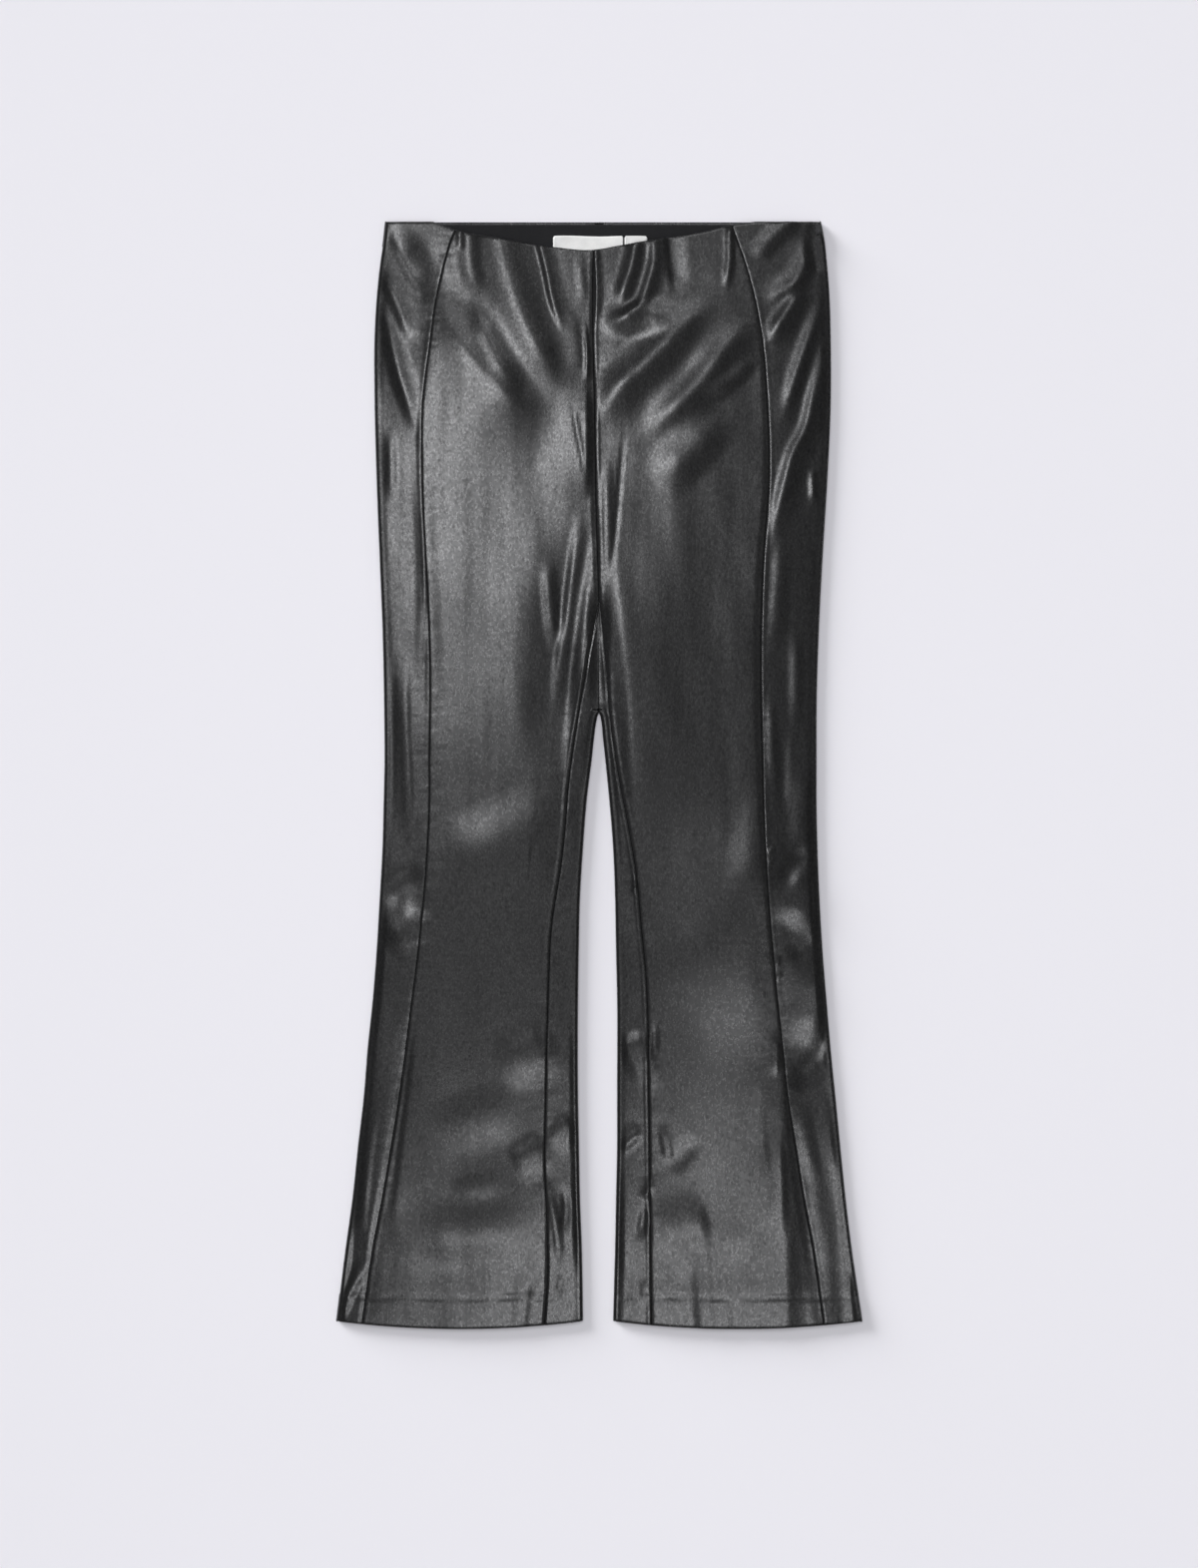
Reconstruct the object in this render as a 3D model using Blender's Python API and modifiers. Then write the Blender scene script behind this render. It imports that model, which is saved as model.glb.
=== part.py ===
"""Faux leather flared leggings laid flat with the front up: one solid for each cut piece.

+X is the wearer's left, +Y points to the waist and +Z is up. The garment rests on z = 0, and the
origin lies below the middle of its outline. All sizes are in millimetres until a mesh is made:
"across" is measured from the centre line towards the wearer's left, and "drop" down from the back
waist edge. Each panel is a grid laid over its own cut, with the wall added inwards.
"""

import math
from typing import NamedTuple

import bmesh
import bpy
import numpy as np
from mathutils import Matrix

MM = 0.001

# Driving sizes
SIDE_LENGTH = 935.0  # waist edge to the hem's corners
HEM_SAG = 6.5  # the hem's middle hangs this much lower than its corners
HALF_LENGTH = (SIDE_LENGTH + HEM_SAG) / 2
CROTCH_DROP = 322.0  # where the front seams meet
GAP_DROP = 418.0  # where the legs part: the seat seam turns up here and runs to the crotch
CENTRE = -0.5  # the seat seam, just off the middle of the outline
HEM_RAMP_DROP = 830.0
FRONT_DIP_REACH = 80.0

# Cloth
WALL = 1.2
EDGE_RADIUS = 2.75  # the cloth rolls round each outer edge on this radius
LAYERS = 2 * EDGE_RADIUS
SEAM_GAP = 0.3
SEAM_DIP = 0.9
SEAM_REACH = 5.0
SEAM_COLUMN = 3.5
CROWN = 0.8  # how much higher the front lies away from its edges
EDGE_FADE = 14.0
FOLD_END = 0.08  # where on half a sine wave a fold's line starts, so that its ends fade softly
FOLD_FULLNESS = 0.7

# Side seams: how far above the horizontal each lies on the rolled edge, in degrees
RIGHT_SIDE_SEAM_TURN = 0.0
LEFT_SIDE_SEAM_TURN = 50.0
CLOSED_SEAM_TURN = 4.0
SEAM_EDGE_TURN = 5.0  # a narrow step by the side seam squares the cloth's cut edge there
ZIP_OPENING_TURN = 14.0
ZIP_END_DROP = 190.0
ZIP_FADE = 10.0

# Grid fineness
FRONT_COLUMNS = 12
SIDE_COLUMNS = 4
FRONT_CURL_STEPS = 2
BACK_CURL_STEPS = 4
BACK_COLUMNS = 3
FLAP_COLUMNS = 3
PATH_SAMPLES = 24
ELASTIC_COLUMNS = 12
LABEL_COLUMNS = 4
TAB_COLUMNS = 2
STRIP_ROWS = 3
BOUNDARY_ROUNDS = 3

# Waist elastic, label and size tab, stacked on the inside of the back
STACK_GAP = 0.3
ELASTIC_HALF_WIDTH = 176.0
ELASTIC_TOP_DROP = 1.5
ELASTIC_BOTTOM_DROP = 38.0
ELASTIC_WALL = 1.2
LABEL_WALL = 1.0
LABEL_LEFT, LABEL_RIGHT = -39.5, 20.2
LABEL_TOP_DROP, LABEL_BOTTOM_DROP = 11.3, 35.0
TAB_LEFT, TAB_RIGHT = 21.4, 40.6
TAB_TOP_DROP, TAB_BOTTOM_DROP = 11.4, 19.6

# Zip
CHAIN_WIDTH_TURN = 6.5
CHAIN_SINK = 0.15
CHAIN_WALL = 0.8
CHAIN_TOP_DROP = 1.0
CHAIN_BOTTOM_DROP = 186.0
CHAIN_ROWS = 22
SLIDER_ACROSS = 186.0
SLIDER_CLEARANCE = 0.4
SLIDER_TOP_DROP, SLIDER_BOTTOM_DROP = 1.6, 10.4
SLIDER_WIDTH = 5.0
SLIDER_PLATE = 1.2
SLIDER_ROUNDING = 0.35
BRIDGE_WIDTH = 1.2
BRIDGE_TOP_DROP, BRIDGE_BOTTOM_DROP = 4.9, 10.1
BRIDGE_POST = 0.8
BRIDGE_OPENING = 1.4
BRIDGE_BEAM = 1.0
BRIDGE_ROOT = 0.3  # how far the bridge's posts run into the plate
BRIDGE_ROUNDING = 0.2
PULL_PIVOT_DROP = 8.6
PULL_WALL = 0.8
PULL_WIDTH = 3.2
PULL_LENGTH = 22.8
PULL_EYE_WIDTH = 1.9
PULL_EYE_LENGTH = 4.0
PULL_BAR = 0.8
PULL_ROUNDING = 0.35
PULL_EYE_ROUNDING = 0.2
PULL_SLOPE = math.radians(3.6)  # the tab leans down from the slider to the cloth
ROUND_STEPS = 4
BEVEL_STEPS = 2


class Section(NamedTuple):
    """The outer edges and the panel seams at one drop."""

    drop: float
    right_edge: float
    right_seam: float
    left_seam: float
    left_edge: float


SECTIONS = (
    Section(0, -182.5, -120, 112, 189),
    Section(15, -184, -126.3, 117, 191.7),
    Section(32, -186.5, -131.3, 123, 193.5),
    Section(65, -190, -139, 132, 196),
    Section(98, -191.7, -143.6, 138, 196.9),
    Section(150, -191.7, -150.2, 142.4, 197),
    Section(218, -190, -150.6, 144.1, 194.2),
    Section(286, -187.4, -147.5, 139.4, 190),
    Section(345, -185, -144.9, 137.3, 187),
    Section(410, -183.6, -144.1, 137.4, 185),
    Section(455, -183.2, -144.8, 138.4, 184.9),
    Section(495, -184, -144.8, 139.4, 184.9),
    Section(533, -185, -146.6, 141, 185.7),
    Section(576, -187.4, -149.8, 143.5, 187.4),
    Section(620, -190, -154.2, 147.3, 190),
    Section(665, -193.6, -160.1, 151.5, 193.6),
    Section(703, -197.6, -164.9, 155.8, 196.8),
    Section(745, -201, -170.4, 160.2, 201),
    Section(788, -206, -177.4, 166.7, 205.2),
    Section(830, -210.4, -184.8, 173.5, 209.5),
    Section(873, -216.3, -193, 181.5, 214.7),
    Section(935, -224, -202, 190.5, 224),
)


class Pair(NamedTuple):
    """A seam or an edge of each leg at one drop."""

    drop: float
    right: float
    left: float


INSEAMS = (
    Pair(322, -0.5, -0.5),
    Pair(348, -5.1, 2.8),
    Pair(383, -11.5, 5.9),
    Pair(418, -17.8, 8.4),
    Pair(455, -23.4, 13.2),
    Pair(480, -26.4, 17.6),
    Pair(518, -29.4, 25.1),
    Pair(552, -33.4, 31),
    Pair(600, -40.9, 35.6),
    Pair(640, -43, 39.5),
    Pair(692, -44.6, 41.6),
    Pair(745, -45.8, 42.1),
    Pair(798, -46.7, 42.9),
    Pair(852, -44.7, 43.4),
    Pair(892, -43.9, 43.8),
    Pair(935, -46.7, 44.2),
)

INNER_EDGES = (
    Pair(418, -0.65, -0.35),
    Pair(419.5, -1.5, 0.4),
    Pair(423, -2.3, 1.2),
    Pair(440, -4.7, 3),
    Pair(456, -6.4, 4.7),
    Pair(490, -10.6, 8.1),
    Pair(533, -14, 11.5),
    Pair(576, -16.6, 13.2),
    Pair(620, -17.6, 14),
    Pair(660, -18.2, 14.9),
    Pair(745, -18.2, 14.9),
    Pair(788, -17.4, 14.9),
    Pair(830, -16.6, 14),
    Pair(873, -15, 13.2),
    Pair(935, -14, 11.5),
)


class SeamPoint(NamedTuple):
    """A point of the centre front seam."""

    drop: float
    across: float


CENTRE_SEAM = (
    SeamPoint(20, -5.5),
    SeamPoint(100, -5.5),
    SeamPoint(134, -4.8),
    SeamPoint(185, -3.8),
    SeamPoint(236, -3),
    SeamPoint(270, -2.1),
    SeamPoint(322, -0.5),
)


class WaistPoint(NamedTuple):
    """How far the front waist edge dips below the back one."""

    across: float
    dip: float


FRONT_WAIST = (
    WaistPoint(-142, 0),
    WaistPoint(-123, 7),
    WaistPoint(-85, 14.5),
    WaistPoint(-40, 21.5),
    WaistPoint(-7, 24.2),
    WaistPoint(21, 19.6),
    WaistPoint(50, 14.6),
    WaistPoint(85, 9.4),
    WaistPoint(114, 2.6),
    WaistPoint(133, 0),
)


class Turn(NamedTuple):
    """How the fold at the crotch turns from lying under the seat seam to running down the leg."""

    below_gap: float
    degrees: float


CROTCH_TURN = (Turn(0, 90), Turn(1.5, 50), Turn(5, 12), Turn(12, 0))


class Fold(NamedTuple):
    """A soft crease of the front: its line runs through three (across, drop) points."""

    start: tuple[float, float]
    middle: tuple[float, float]
    end: tuple[float, float]
    width: float
    height: float


FOLDS = (
    # Right front centre panel: drag lines from the waist to the crotch
    Fold((-97, 12), (-66, 91), (-27, 160), 30, 3.6),
    Fold((-128, 58), (-98, 104), (-64, 145), 28, 2.6),
    Fold((-52, 16), (-38, 66), (-24, 110), 22, 2.4),
    Fold((-80, 30), (-62, 78), (-26, 150), 22, -1.4),
    Fold((-138, 74), (-108, 125), (-72, 170), 26, -1.2),
    Fold((-15, 215), (-21, 290), (-34, 372), 20, 2.4),
    Fold((-45, 270), (-38, 350), (-36, 425), 22, 1.6),
    Fold((-24, 150), (-20, 185), (-14, 230), 12, -1.0),
    # Left front centre panel
    Fold((88, 52), (58, 98), (2, 160), 26, 3.8),
    Fold((130, 62), (94, 122), (22, 190), 26, 2.8),
    Fold((122, 138), (78, 184), (38, 210), 24, 2.0),
    Fold((42, 16), (37, 56), (10, 86), 20, 2.8),
    Fold((121, 36), (85, 98), (30, 150), 22, -1.4),
    Fold((20, 180), (16, 250), (6, 320), 12, -1.0),
    Fold((16, 262), (19, 350), (29, 470), 22, 2.2),
    Fold((104, 440), (118, 540), (122, 610), 46, 1.6),
    # Right front side panel
    Fold((-188, 36), (-170, 74), (-157, 135), 16, 2.0),
    Fold((-182, 90), (-169, 132), (-152, 190), 16, 2.0),
    Fold((-172, 8), (-164, 34), (-146, 62), 18, 1.8),
    Fold((-176, 160), (-174, 205), (-176, 260), 14, 1.4),
    # Left front side panel
    Fold((168, 12), (164, 44), (140, 74), 18, 2.0),
    Fold((184, 56), (173, 106), (150, 182), 16, 2.2),
    Fold((184, 100), (176, 170), (146, 290), 16, 2.0),
    # Lower legs
    Fold((-186, 590), (-168, 604), (-150, 602), 34, 1.6),
    Fold((172, 556), (178, 586), (172, 612), 24, 1.6),
    Fold((190, 640), (178, 680), (166, 716), 26, 2.0),
    Fold((22, 712), (23, 745), (34, 786), 20, 1.8),
    Fold((-63, 800), (-62, 825), (-66, 850), 34, 1.4),
    Fold((151, 770), (152, 822), (150, 880), 28, 1.4),
    Fold((-40, 806), (-36, 846), (-34, 890), 14, 1.4),
)

# Drops of the grid's rows: close over the hip, where most folds lie, and wider down the legs
HIP_ROWS = [*np.linspace(0, 250, 21), *np.linspace(274, CROTCH_DROP, 3)]
CROTCH_ROWS = [328, 346, 364, 382, 400, 412]
GAP_ROWS = [GAP_DROP + turn.below_gap for turn in CROTCH_TURN]
LEG_ROWS = [*np.linspace(448, SIDE_LENGTH, 17)]
ROWS = np.array([*HIP_ROWS, *CROTCH_ROWS, *GAP_ROWS, *LEG_ROWS])
FLAP_ROW = len(HIP_ROWS)
GAP_ROW = FLAP_ROW + len(CROTCH_ROWS)


def smooth(value):
    """An eased 0 to 1 step."""
    value = np.clip(value, 0, 1)
    return value * value * (3 - 2 * value)


def curve_through(places, values):
    """A function that runs smoothly through the given places and values."""
    places = np.array(places, float)
    values = np.array(values, float)
    slopes = np.gradient(values, places)

    def at(place):
        place = np.clip(place, places[0], places[-1])
        index = np.clip(np.searchsorted(places, place, side="right") - 1, 0, len(places) - 2)
        span = places[index + 1] - places[index]
        t = (place - places[index]) / span
        rise = values[index + 1] - values[index]
        bend = (slopes[index] * span - rise) * (1 - t) - (slopes[index + 1] * span - rise) * t
        return values[index] + rise * t + t * (1 - t) * bend

    return at


def column(rows, place, value):
    """The smooth curve of one named column of a table."""
    return curve_through([getattr(row, place) for row in rows], [getattr(row, value) for row in rows])


outer_edge = {side: column(SECTIONS, "drop", f"{side}_edge") for side in ("right", "left")}
panel_seam = {side: column(SECTIONS, "drop", f"{side}_seam") for side in ("right", "left")}
inseam = {side: column(INSEAMS, "drop", side) for side in ("right", "left")}
inner_edge = {side: column(INNER_EDGES, "drop", side) for side in ("right", "left")}
centre_seam = column(CENTRE_SEAM, "drop", "across")
front_waist = column(FRONT_WAIST, "across", "dip")
crotch_turn = column(CROTCH_TURN, "below_gap", "degrees")


def outward(side):
    """+1 where the side's outer edge lies towards +X, -1 where it lies towards -X."""
    return 1 if side == "left" else -1


def front_inner_seam(side, drop):
    """Across of the front centre panel's inner seam: the centre front seam, then the inseam."""
    return np.where(drop <= CROTCH_DROP, centre_seam(drop), inseam[side](drop))


def front_dip(across, row_drop):
    """How far the front waist's dip moves a row down. It fades with the row's own drop."""
    fade = np.clip(1 - row_drop / FRONT_DIP_REACH, 0, 1)
    return np.clip(front_waist(across), 0, None) * fade


def hem_arc(side, across, row_drop):
    """How far the hem's curve moves a row down."""
    inner = inner_edge[side](row_drop)
    outer = outer_edge[side](row_drop)
    t = 2 * (across - inner) / (outer - inner) - 1
    ramp = smooth((row_drop - HEM_RAMP_DROP) / (SIDE_LENGTH - HEM_RAMP_DROP))
    return HEM_SAG * np.clip(1 - t * t, 0, 1) * ramp


def edge_distance(across, drop):
    """How far a point of the front lies from the nearest rolled edge."""
    distance = np.minimum(outer_edge["left"](drop) - across, across - outer_edge["right"](drop))
    to_inner = np.where(
        across > CENTRE, across - inner_edge["left"](drop), inner_edge["right"](drop) - across
    )
    to_gap = np.hypot(across - CENTRE, np.clip(GAP_DROP - drop, 0, None))
    return np.minimum(distance, np.where(drop > GAP_DROP, to_inner, to_gap))


def fold_height(fold, across, drop):
    """What one fold adds to the front at each point."""
    start, middle, end = (np.array(place, float) for place in (fold.start, fold.middle, fold.end))
    t = np.linspace(0, 1, PATH_SAMPLES)[:, None]
    control = 2 * middle - (start + end) / 2
    path = (1 - t) ** 2 * start + 2 * t * (1 - t) * control + t**2 * end
    place = np.stack([across, drop], axis=-1)[..., None, :]
    distance = np.linalg.norm(place - path, axis=-1)
    nearest = distance.argmin(axis=-1)
    along = nearest / (PATH_SAMPLES - 1)
    taper = np.sin(np.pi * (FOLD_END + (1 - 2 * FOLD_END) * along)) ** FOLD_FULLNESS
    reach = np.clip(2 * distance.min(axis=-1) / fold.width, 0, 1)
    return fold.height * taper * np.cos(reach * np.pi / 2) ** 2


def front_height(across, drop):
    """Height of the front's outer face above the ground."""
    fade = smooth((edge_distance(across, drop) - EDGE_RADIUS) / EDGE_FADE)
    folds = sum(fold_height(fold, across, drop) for fold in FOLDS)
    return LAYERS + fade * (CROWN + folds)


def seam_dip(distance):
    """How far the cloth sinks towards a seam at this distance from it."""
    return SEAM_DIP * (1 - smooth(distance / SEAM_REACH))


def spaced(start, end, columns, at_start, at_end):
    """Places from start to end, with a narrow column where an end lies on a seam."""
    direction = 1 if end > start else -1
    width = abs(end - start)
    narrow = min(SEAM_COLUMN, width / (columns + 2))
    first = narrow if at_start else 0
    last = width - narrow if at_end else width
    inside = np.linspace(first, last, columns + 1)
    steps = [0.0] * at_start + [*inside] + [width] * at_end
    return start + direction * np.array(steps)


def front_points(side, row_drop, places, from_seams):
    """Points of a front panel's row: from_seams gives each place's distance to its own seams."""
    down = row_drop + front_dip(places, row_drop) + hem_arc(side, places, row_drop)
    height = front_height(places, down) - seam_dip(from_seams)
    return np.stack([places, down, height], axis=-1)


def moved_row(side, row_drop, across_at):
    """Across of a boundary where a moved row crosses it."""
    drop = row_drop
    for _ in range(BOUNDARY_ROUNDS):
        across = across_at(drop)
        drop = row_drop + front_dip(across, row_drop) + hem_arc(side, across, row_drop)
    return float(across)


def front_centre_row(side, row_drop):
    """A row of a front centre panel, from its inner seam to its panel seam."""
    gap = outward(side) * SEAM_GAP / 2
    inner = moved_row(side, row_drop, lambda drop: front_inner_seam(side, drop)) + gap
    outer = moved_row(side, row_drop, panel_seam[side]) - gap
    places = spaced(inner, outer, FRONT_COLUMNS, 1, 1)
    return front_points(side, row_drop, places, np.minimum(abs(places - inner), abs(places - outer)))


def side_seam_turn(side, drop):
    """Where the side seam lies on the rolled edge, and half of what stays open there, in degrees."""
    if side == "right":
        return RIGHT_SIDE_SEAM_TURN, CLOSED_SEAM_TURN
    opening = np.interp(
        drop, [ZIP_END_DROP, ZIP_END_DROP + ZIP_FADE], [ZIP_OPENING_TURN, CLOSED_SEAM_TURN]
    )
    return LEFT_SIDE_SEAM_TURN, float(opening)


def rolled(across, drop, direction, turns, radius=EDGE_RADIUS):
    """Points round a rolled edge whose outline passes (across, drop), at the given turns in degrees."""
    angles = np.radians(turns)
    reach = radius * np.cos(angles) - EDGE_RADIUS
    return np.stack(
        [
            across + direction[0] * reach,
            drop + direction[1] * reach,
            EDGE_RADIUS + radius * np.sin(angles),
        ],
        axis=-1,
    )


def front_side_row(side, row_drop):
    """A row of a front side panel, from its panel seam over the front to the side seam."""
    out = outward(side)
    seam = moved_row(side, row_drop, panel_seam[side]) + out * SEAM_GAP / 2
    edge = float(outer_edge[side](row_drop))
    places = spaced(seam, edge - out * EDGE_RADIUS, SIDE_COLUMNS, 1, 0)
    flat = front_points(side, row_drop, places, abs(places - seam))
    seam_turn, half_open = side_seam_turn(side, row_drop)
    end = seam_turn + half_open
    turns = [*np.linspace(90, end + SEAM_EDGE_TURN, FRONT_CURL_STEPS + 1)[1:], end]
    return np.concatenate([flat, rolled(edge, row_drop, (out, 0), turns)])


def flap_points(side, row_drop, inner):
    """The back's strip that shows on the front, from the fold or seat seam to the inseam."""
    out = outward(side)
    seam = moved_row(side, row_drop, inseam[side]) - out * SEAM_GAP / 2
    places = spaced(inner[0], seam, FLAP_COLUMNS - 1, 0, 1)
    share = (places - inner[0]) / (seam - inner[0])
    down = inner[1] + share * (row_drop - inner[1]) + hem_arc(side, places, row_drop)
    height = front_height(places, down) - seam_dip(abs(places - seam))
    if row_drop < GAP_DROP:
        height = height - seam_dip(abs(places - inner[0]))
    return np.stack([places, down, height], axis=-1)


def back_row(side, row_drop):
    """A row of a back panel: side seam, rolled edge, underside, inner fold and the strip in front."""
    out = outward(side)
    edge = float(outer_edge[side](row_drop))
    seam_turn, half_open = side_seam_turn(side, row_drop)
    start = seam_turn - half_open
    turns = [start, *np.linspace(start - SEAM_EDGE_TURN, -90, BACK_CURL_STEPS + 1)]
    outer = rolled(edge, row_drop, (out, 0), turns)
    if row_drop < GAP_DROP:
        inner = CENTRE + out * SEAM_GAP / 2
        fold = np.array([[inner, row_drop, 0], [inner, row_drop, LAYERS]])
        fold = np.linspace(fold[0], fold[1], BACK_CURL_STEPS + 1)
    else:
        turn = math.radians(float(crotch_turn(row_drop - GAP_DROP)))
        inner = float(inner_edge[side](row_drop))
        facing = (-out * math.cos(turn), math.sin(turn))
        fold = rolled(inner, row_drop, facing, np.linspace(-90, 90, BACK_CURL_STEPS + 1))
    under = np.linspace(outer[-1], fold[0], BACK_COLUMNS + 1)[1:-1]
    under[:, 1] += hem_arc(side, under[:, 0], row_drop)
    flap = flap_points(side, max(row_drop, ROWS[FLAP_ROW]), fold[-1])
    return np.concatenate([outer, under, fold[:-1], flap])


def principled(name, colour, roughness):
    """A plain material in the piece's own colour."""
    material = bpy.data.materials.new(name)
    material.use_nodes = True
    shader = material.node_tree.nodes["Principled BSDF"]
    shader.inputs["Base Color"].default_value = (*colour, 1)
    shader.inputs["Roughness"].default_value = roughness
    shader.inputs["Metallic"].default_value = 0
    return material


def add_object(name, mesh, collection, material):
    """A named object with its material in the garment's collection."""
    mesh.materials.append(material)
    made = bpy.data.objects.new(name, mesh)
    collection.objects.link(made)
    return made


def to_metres(points):
    """World positions of (across, drop, height) points."""
    return np.stack([points[..., 0], HALF_LENGTH - points[..., 1], points[..., 2]], axis=-1) * MM


def solidify(obj, wall):
    """Gives an open surface its wall, on the side away from its faces."""
    shell = obj.modifiers.new("wall", "SOLIDIFY")
    shell.thickness = wall * MM
    shell.offset = -1
    shell.use_even_offset = False


def sheet(name, rows, wall, collection, material, turned=False, dropped=None):
    """A wall over rows of points. dropped says, by row and column, which faces are left out."""
    places = to_metres(np.array(rows))
    down, along = places.shape[:2]
    grid = bmesh.new()
    bmesh.ops.create_grid(grid, x_segments=along - 1, y_segments=down - 1, size=1)
    grid.verts.ensure_lookup_table()
    for vertex, place in zip(grid.verts, places.reshape(-1, 3)):
        vertex.co = place
    if dropped:
        grid.faces.ensure_lookup_table()
        unused = [
            face for index, face in enumerate(grid.faces) if dropped(*divmod(index, along - 1))
        ]
        bmesh.ops.delete(grid, geom=unused, context="FACES")
    if turned:
        bmesh.ops.reverse_faces(grid, faces=grid.faces[:])
    mesh = bpy.data.meshes.new(name)
    grid.to_mesh(mesh)
    grid.free()
    mesh.shade_smooth()
    made = add_object(name, mesh, collection, material)
    solidify(made, wall)
    return made


def build_fronts(collection, leather):
    """The four front panels."""
    for side in ("right", "left"):
        centre_rows = [front_centre_row(side, drop) for drop in ROWS]
        side_rows = [front_side_row(side, drop) for drop in ROWS]
        turned = side == "left"
        sheet(f"front_centre_{side}", centre_rows, WALL, collection, leather, turned)
        sheet(f"front_side_{side}", side_rows, WALL, collection, leather, turned)


def build_backs(collection, leather):
    """The two back panels, each wrapped round its inner leg."""
    under_end = BACK_CURL_STEPS + BACK_COLUMNS + 1
    fold_end = under_end + BACK_CURL_STEPS

    def left_out(row, place):
        in_fold = under_end <= place < fold_end
        in_flap = place >= fold_end
        return (in_fold and row < GAP_ROW) or (in_flap and row < FLAP_ROW)

    for side in ("right", "left"):
        rows = [back_row(side, drop) for drop in ROWS]
        sheet(f"back_{side}", rows, WALL, collection, leather, side == "left", left_out)


def flat_strip(name, across, drops, base, wall, columns, collection, material):
    """A flat strip of cloth whose underside lies at the given height."""
    rows = [
        [(place, drop, base + wall) for place in np.linspace(across[1], across[0], columns + 1)]
        for drop in np.linspace(drops[0], drops[1], STRIP_ROWS)
    ]
    return sheet(name, rows, wall, collection, material)


def build_waist(collection, elastic, white):
    """The elastic inside the back waist, with the bare label and size tab on it."""
    base = WALL + STACK_GAP
    width = (-ELASTIC_HALF_WIDTH, ELASTIC_HALF_WIDTH)
    drops = (ELASTIC_TOP_DROP, ELASTIC_BOTTOM_DROP)
    columns = ELASTIC_COLUMNS
    flat_strip("waist_elastic", width, drops, base, ELASTIC_WALL, columns, collection, elastic)
    base += ELASTIC_WALL + STACK_GAP
    label = ((LABEL_LEFT, LABEL_RIGHT), (LABEL_TOP_DROP, LABEL_BOTTOM_DROP))
    flat_strip("woven_label", *label, base, LABEL_WALL, LABEL_COLUMNS, collection, white)
    tab = ((TAB_LEFT, TAB_RIGHT), (TAB_TOP_DROP, TAB_BOTTOM_DROP))
    flat_strip("size_tab", *tab, base, LABEL_WALL, TAB_COLUMNS, collection, white)


def build_chain(collection, material):
    """The closed zip chain, a narrow band that follows the open stretch of the left side seam."""
    turns = LEFT_SIDE_SEAM_TURN + np.array([1, 0, -1]) * CHAIN_WIDTH_TURN
    radius = EDGE_RADIUS - CHAIN_SINK
    rows = [
        rolled(float(outer_edge["left"](drop)), drop, (1, 0), turns, radius)
        for drop in np.linspace(CHAIN_TOP_DROP, CHAIN_BOTTOM_DROP, CHAIN_ROWS)
    ]
    sheet("side_zip", rows, CHAIN_WALL, collection, material, turned=True)


def block(name, sizes, centre, collection, rounding=0.0):
    """A box of the given sizes about a centre, both as across, drop and height."""
    box = bmesh.new()
    bmesh.ops.create_cube(box, size=1)
    bmesh.ops.scale(box, vec=[size * MM for size in sizes], verts=box.verts[:])
    place = to_metres(np.array(centre, float))
    bmesh.ops.translate(box, vec=place, verts=box.verts[:])
    mesh = bpy.data.meshes.new(name)
    box.to_mesh(mesh)
    box.free()
    made = bpy.data.objects.new(name, mesh)
    collection.objects.link(made)
    if rounding:
        bevel = made.modifiers.new("rounding", "BEVEL")
        bevel.width = rounding * MM
        bevel.segments = BEVEL_STEPS
    return made


def combine(obj, other, operation):
    """Joins another mesh to the object or cuts it away, and hides that other mesh as a cutter."""
    boolean = obj.modifiers.new(operation.lower(), "BOOLEAN")
    boolean.operation = operation
    boolean.object = other
    other.hide_render = True
    other.display_type = "WIRE"


def build_slider(collection, cutters, material):
    """The slider's plate, with the bridge that holds the pull."""
    base = LAYERS + SLIDER_CLEARANCE
    length = SLIDER_BOTTOM_DROP - SLIDER_TOP_DROP
    middle = (SLIDER_TOP_DROP + SLIDER_BOTTOM_DROP) / 2
    plate_sizes = (SLIDER_WIDTH, length, SLIDER_PLATE)
    plate_centre = (SLIDER_ACROSS, middle, base + SLIDER_PLATE / 2)
    slider = block("zip_slider", plate_sizes, plate_centre, collection, SLIDER_ROUNDING)
    slider.data.materials.append(material)
    bridge_length = BRIDGE_BOTTOM_DROP - BRIDGE_TOP_DROP
    bridge_middle = (BRIDGE_TOP_DROP + BRIDGE_BOTTOM_DROP) / 2
    top = base + SLIDER_PLATE
    rise = BRIDGE_OPENING + BRIDGE_BEAM
    bridge_sizes = (BRIDGE_WIDTH, bridge_length, rise + BRIDGE_ROOT)
    bridge_centre = (SLIDER_ACROSS, bridge_middle, top + (rise - BRIDGE_ROOT) / 2)
    bridge = block("bridge", bridge_sizes, bridge_centre, cutters, BRIDGE_ROUNDING)
    opening_sizes = (2 * BRIDGE_WIDTH, bridge_length - 2 * BRIDGE_POST, BRIDGE_OPENING)
    opening_centre = (SLIDER_ACROSS, bridge_middle, top + BRIDGE_OPENING / 2)
    opening = block("bridge_opening", opening_sizes, opening_centre, cutters)
    combine(bridge, opening, "DIFFERENCE")
    combine(slider, bridge, "UNION")


def rounded_outline(left, right, bottom, top, radius):
    """Corner-rounded rectangle as a list of points, anticlockwise."""
    points = []
    corners = ((right, top, 0), (left, top, 90), (left, bottom, 180), (right, bottom, 270))
    for x, y, first in corners:
        centre_x = x - math.copysign(radius, x)
        centre_y = y - radius if y == top else y + radius
        for step in range(ROUND_STEPS + 1):
            angle = math.radians(first + 90 * step / ROUND_STEPS)
            points.append((centre_x + radius * math.cos(angle), centre_y + radius * math.sin(angle)))
    return points


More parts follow.
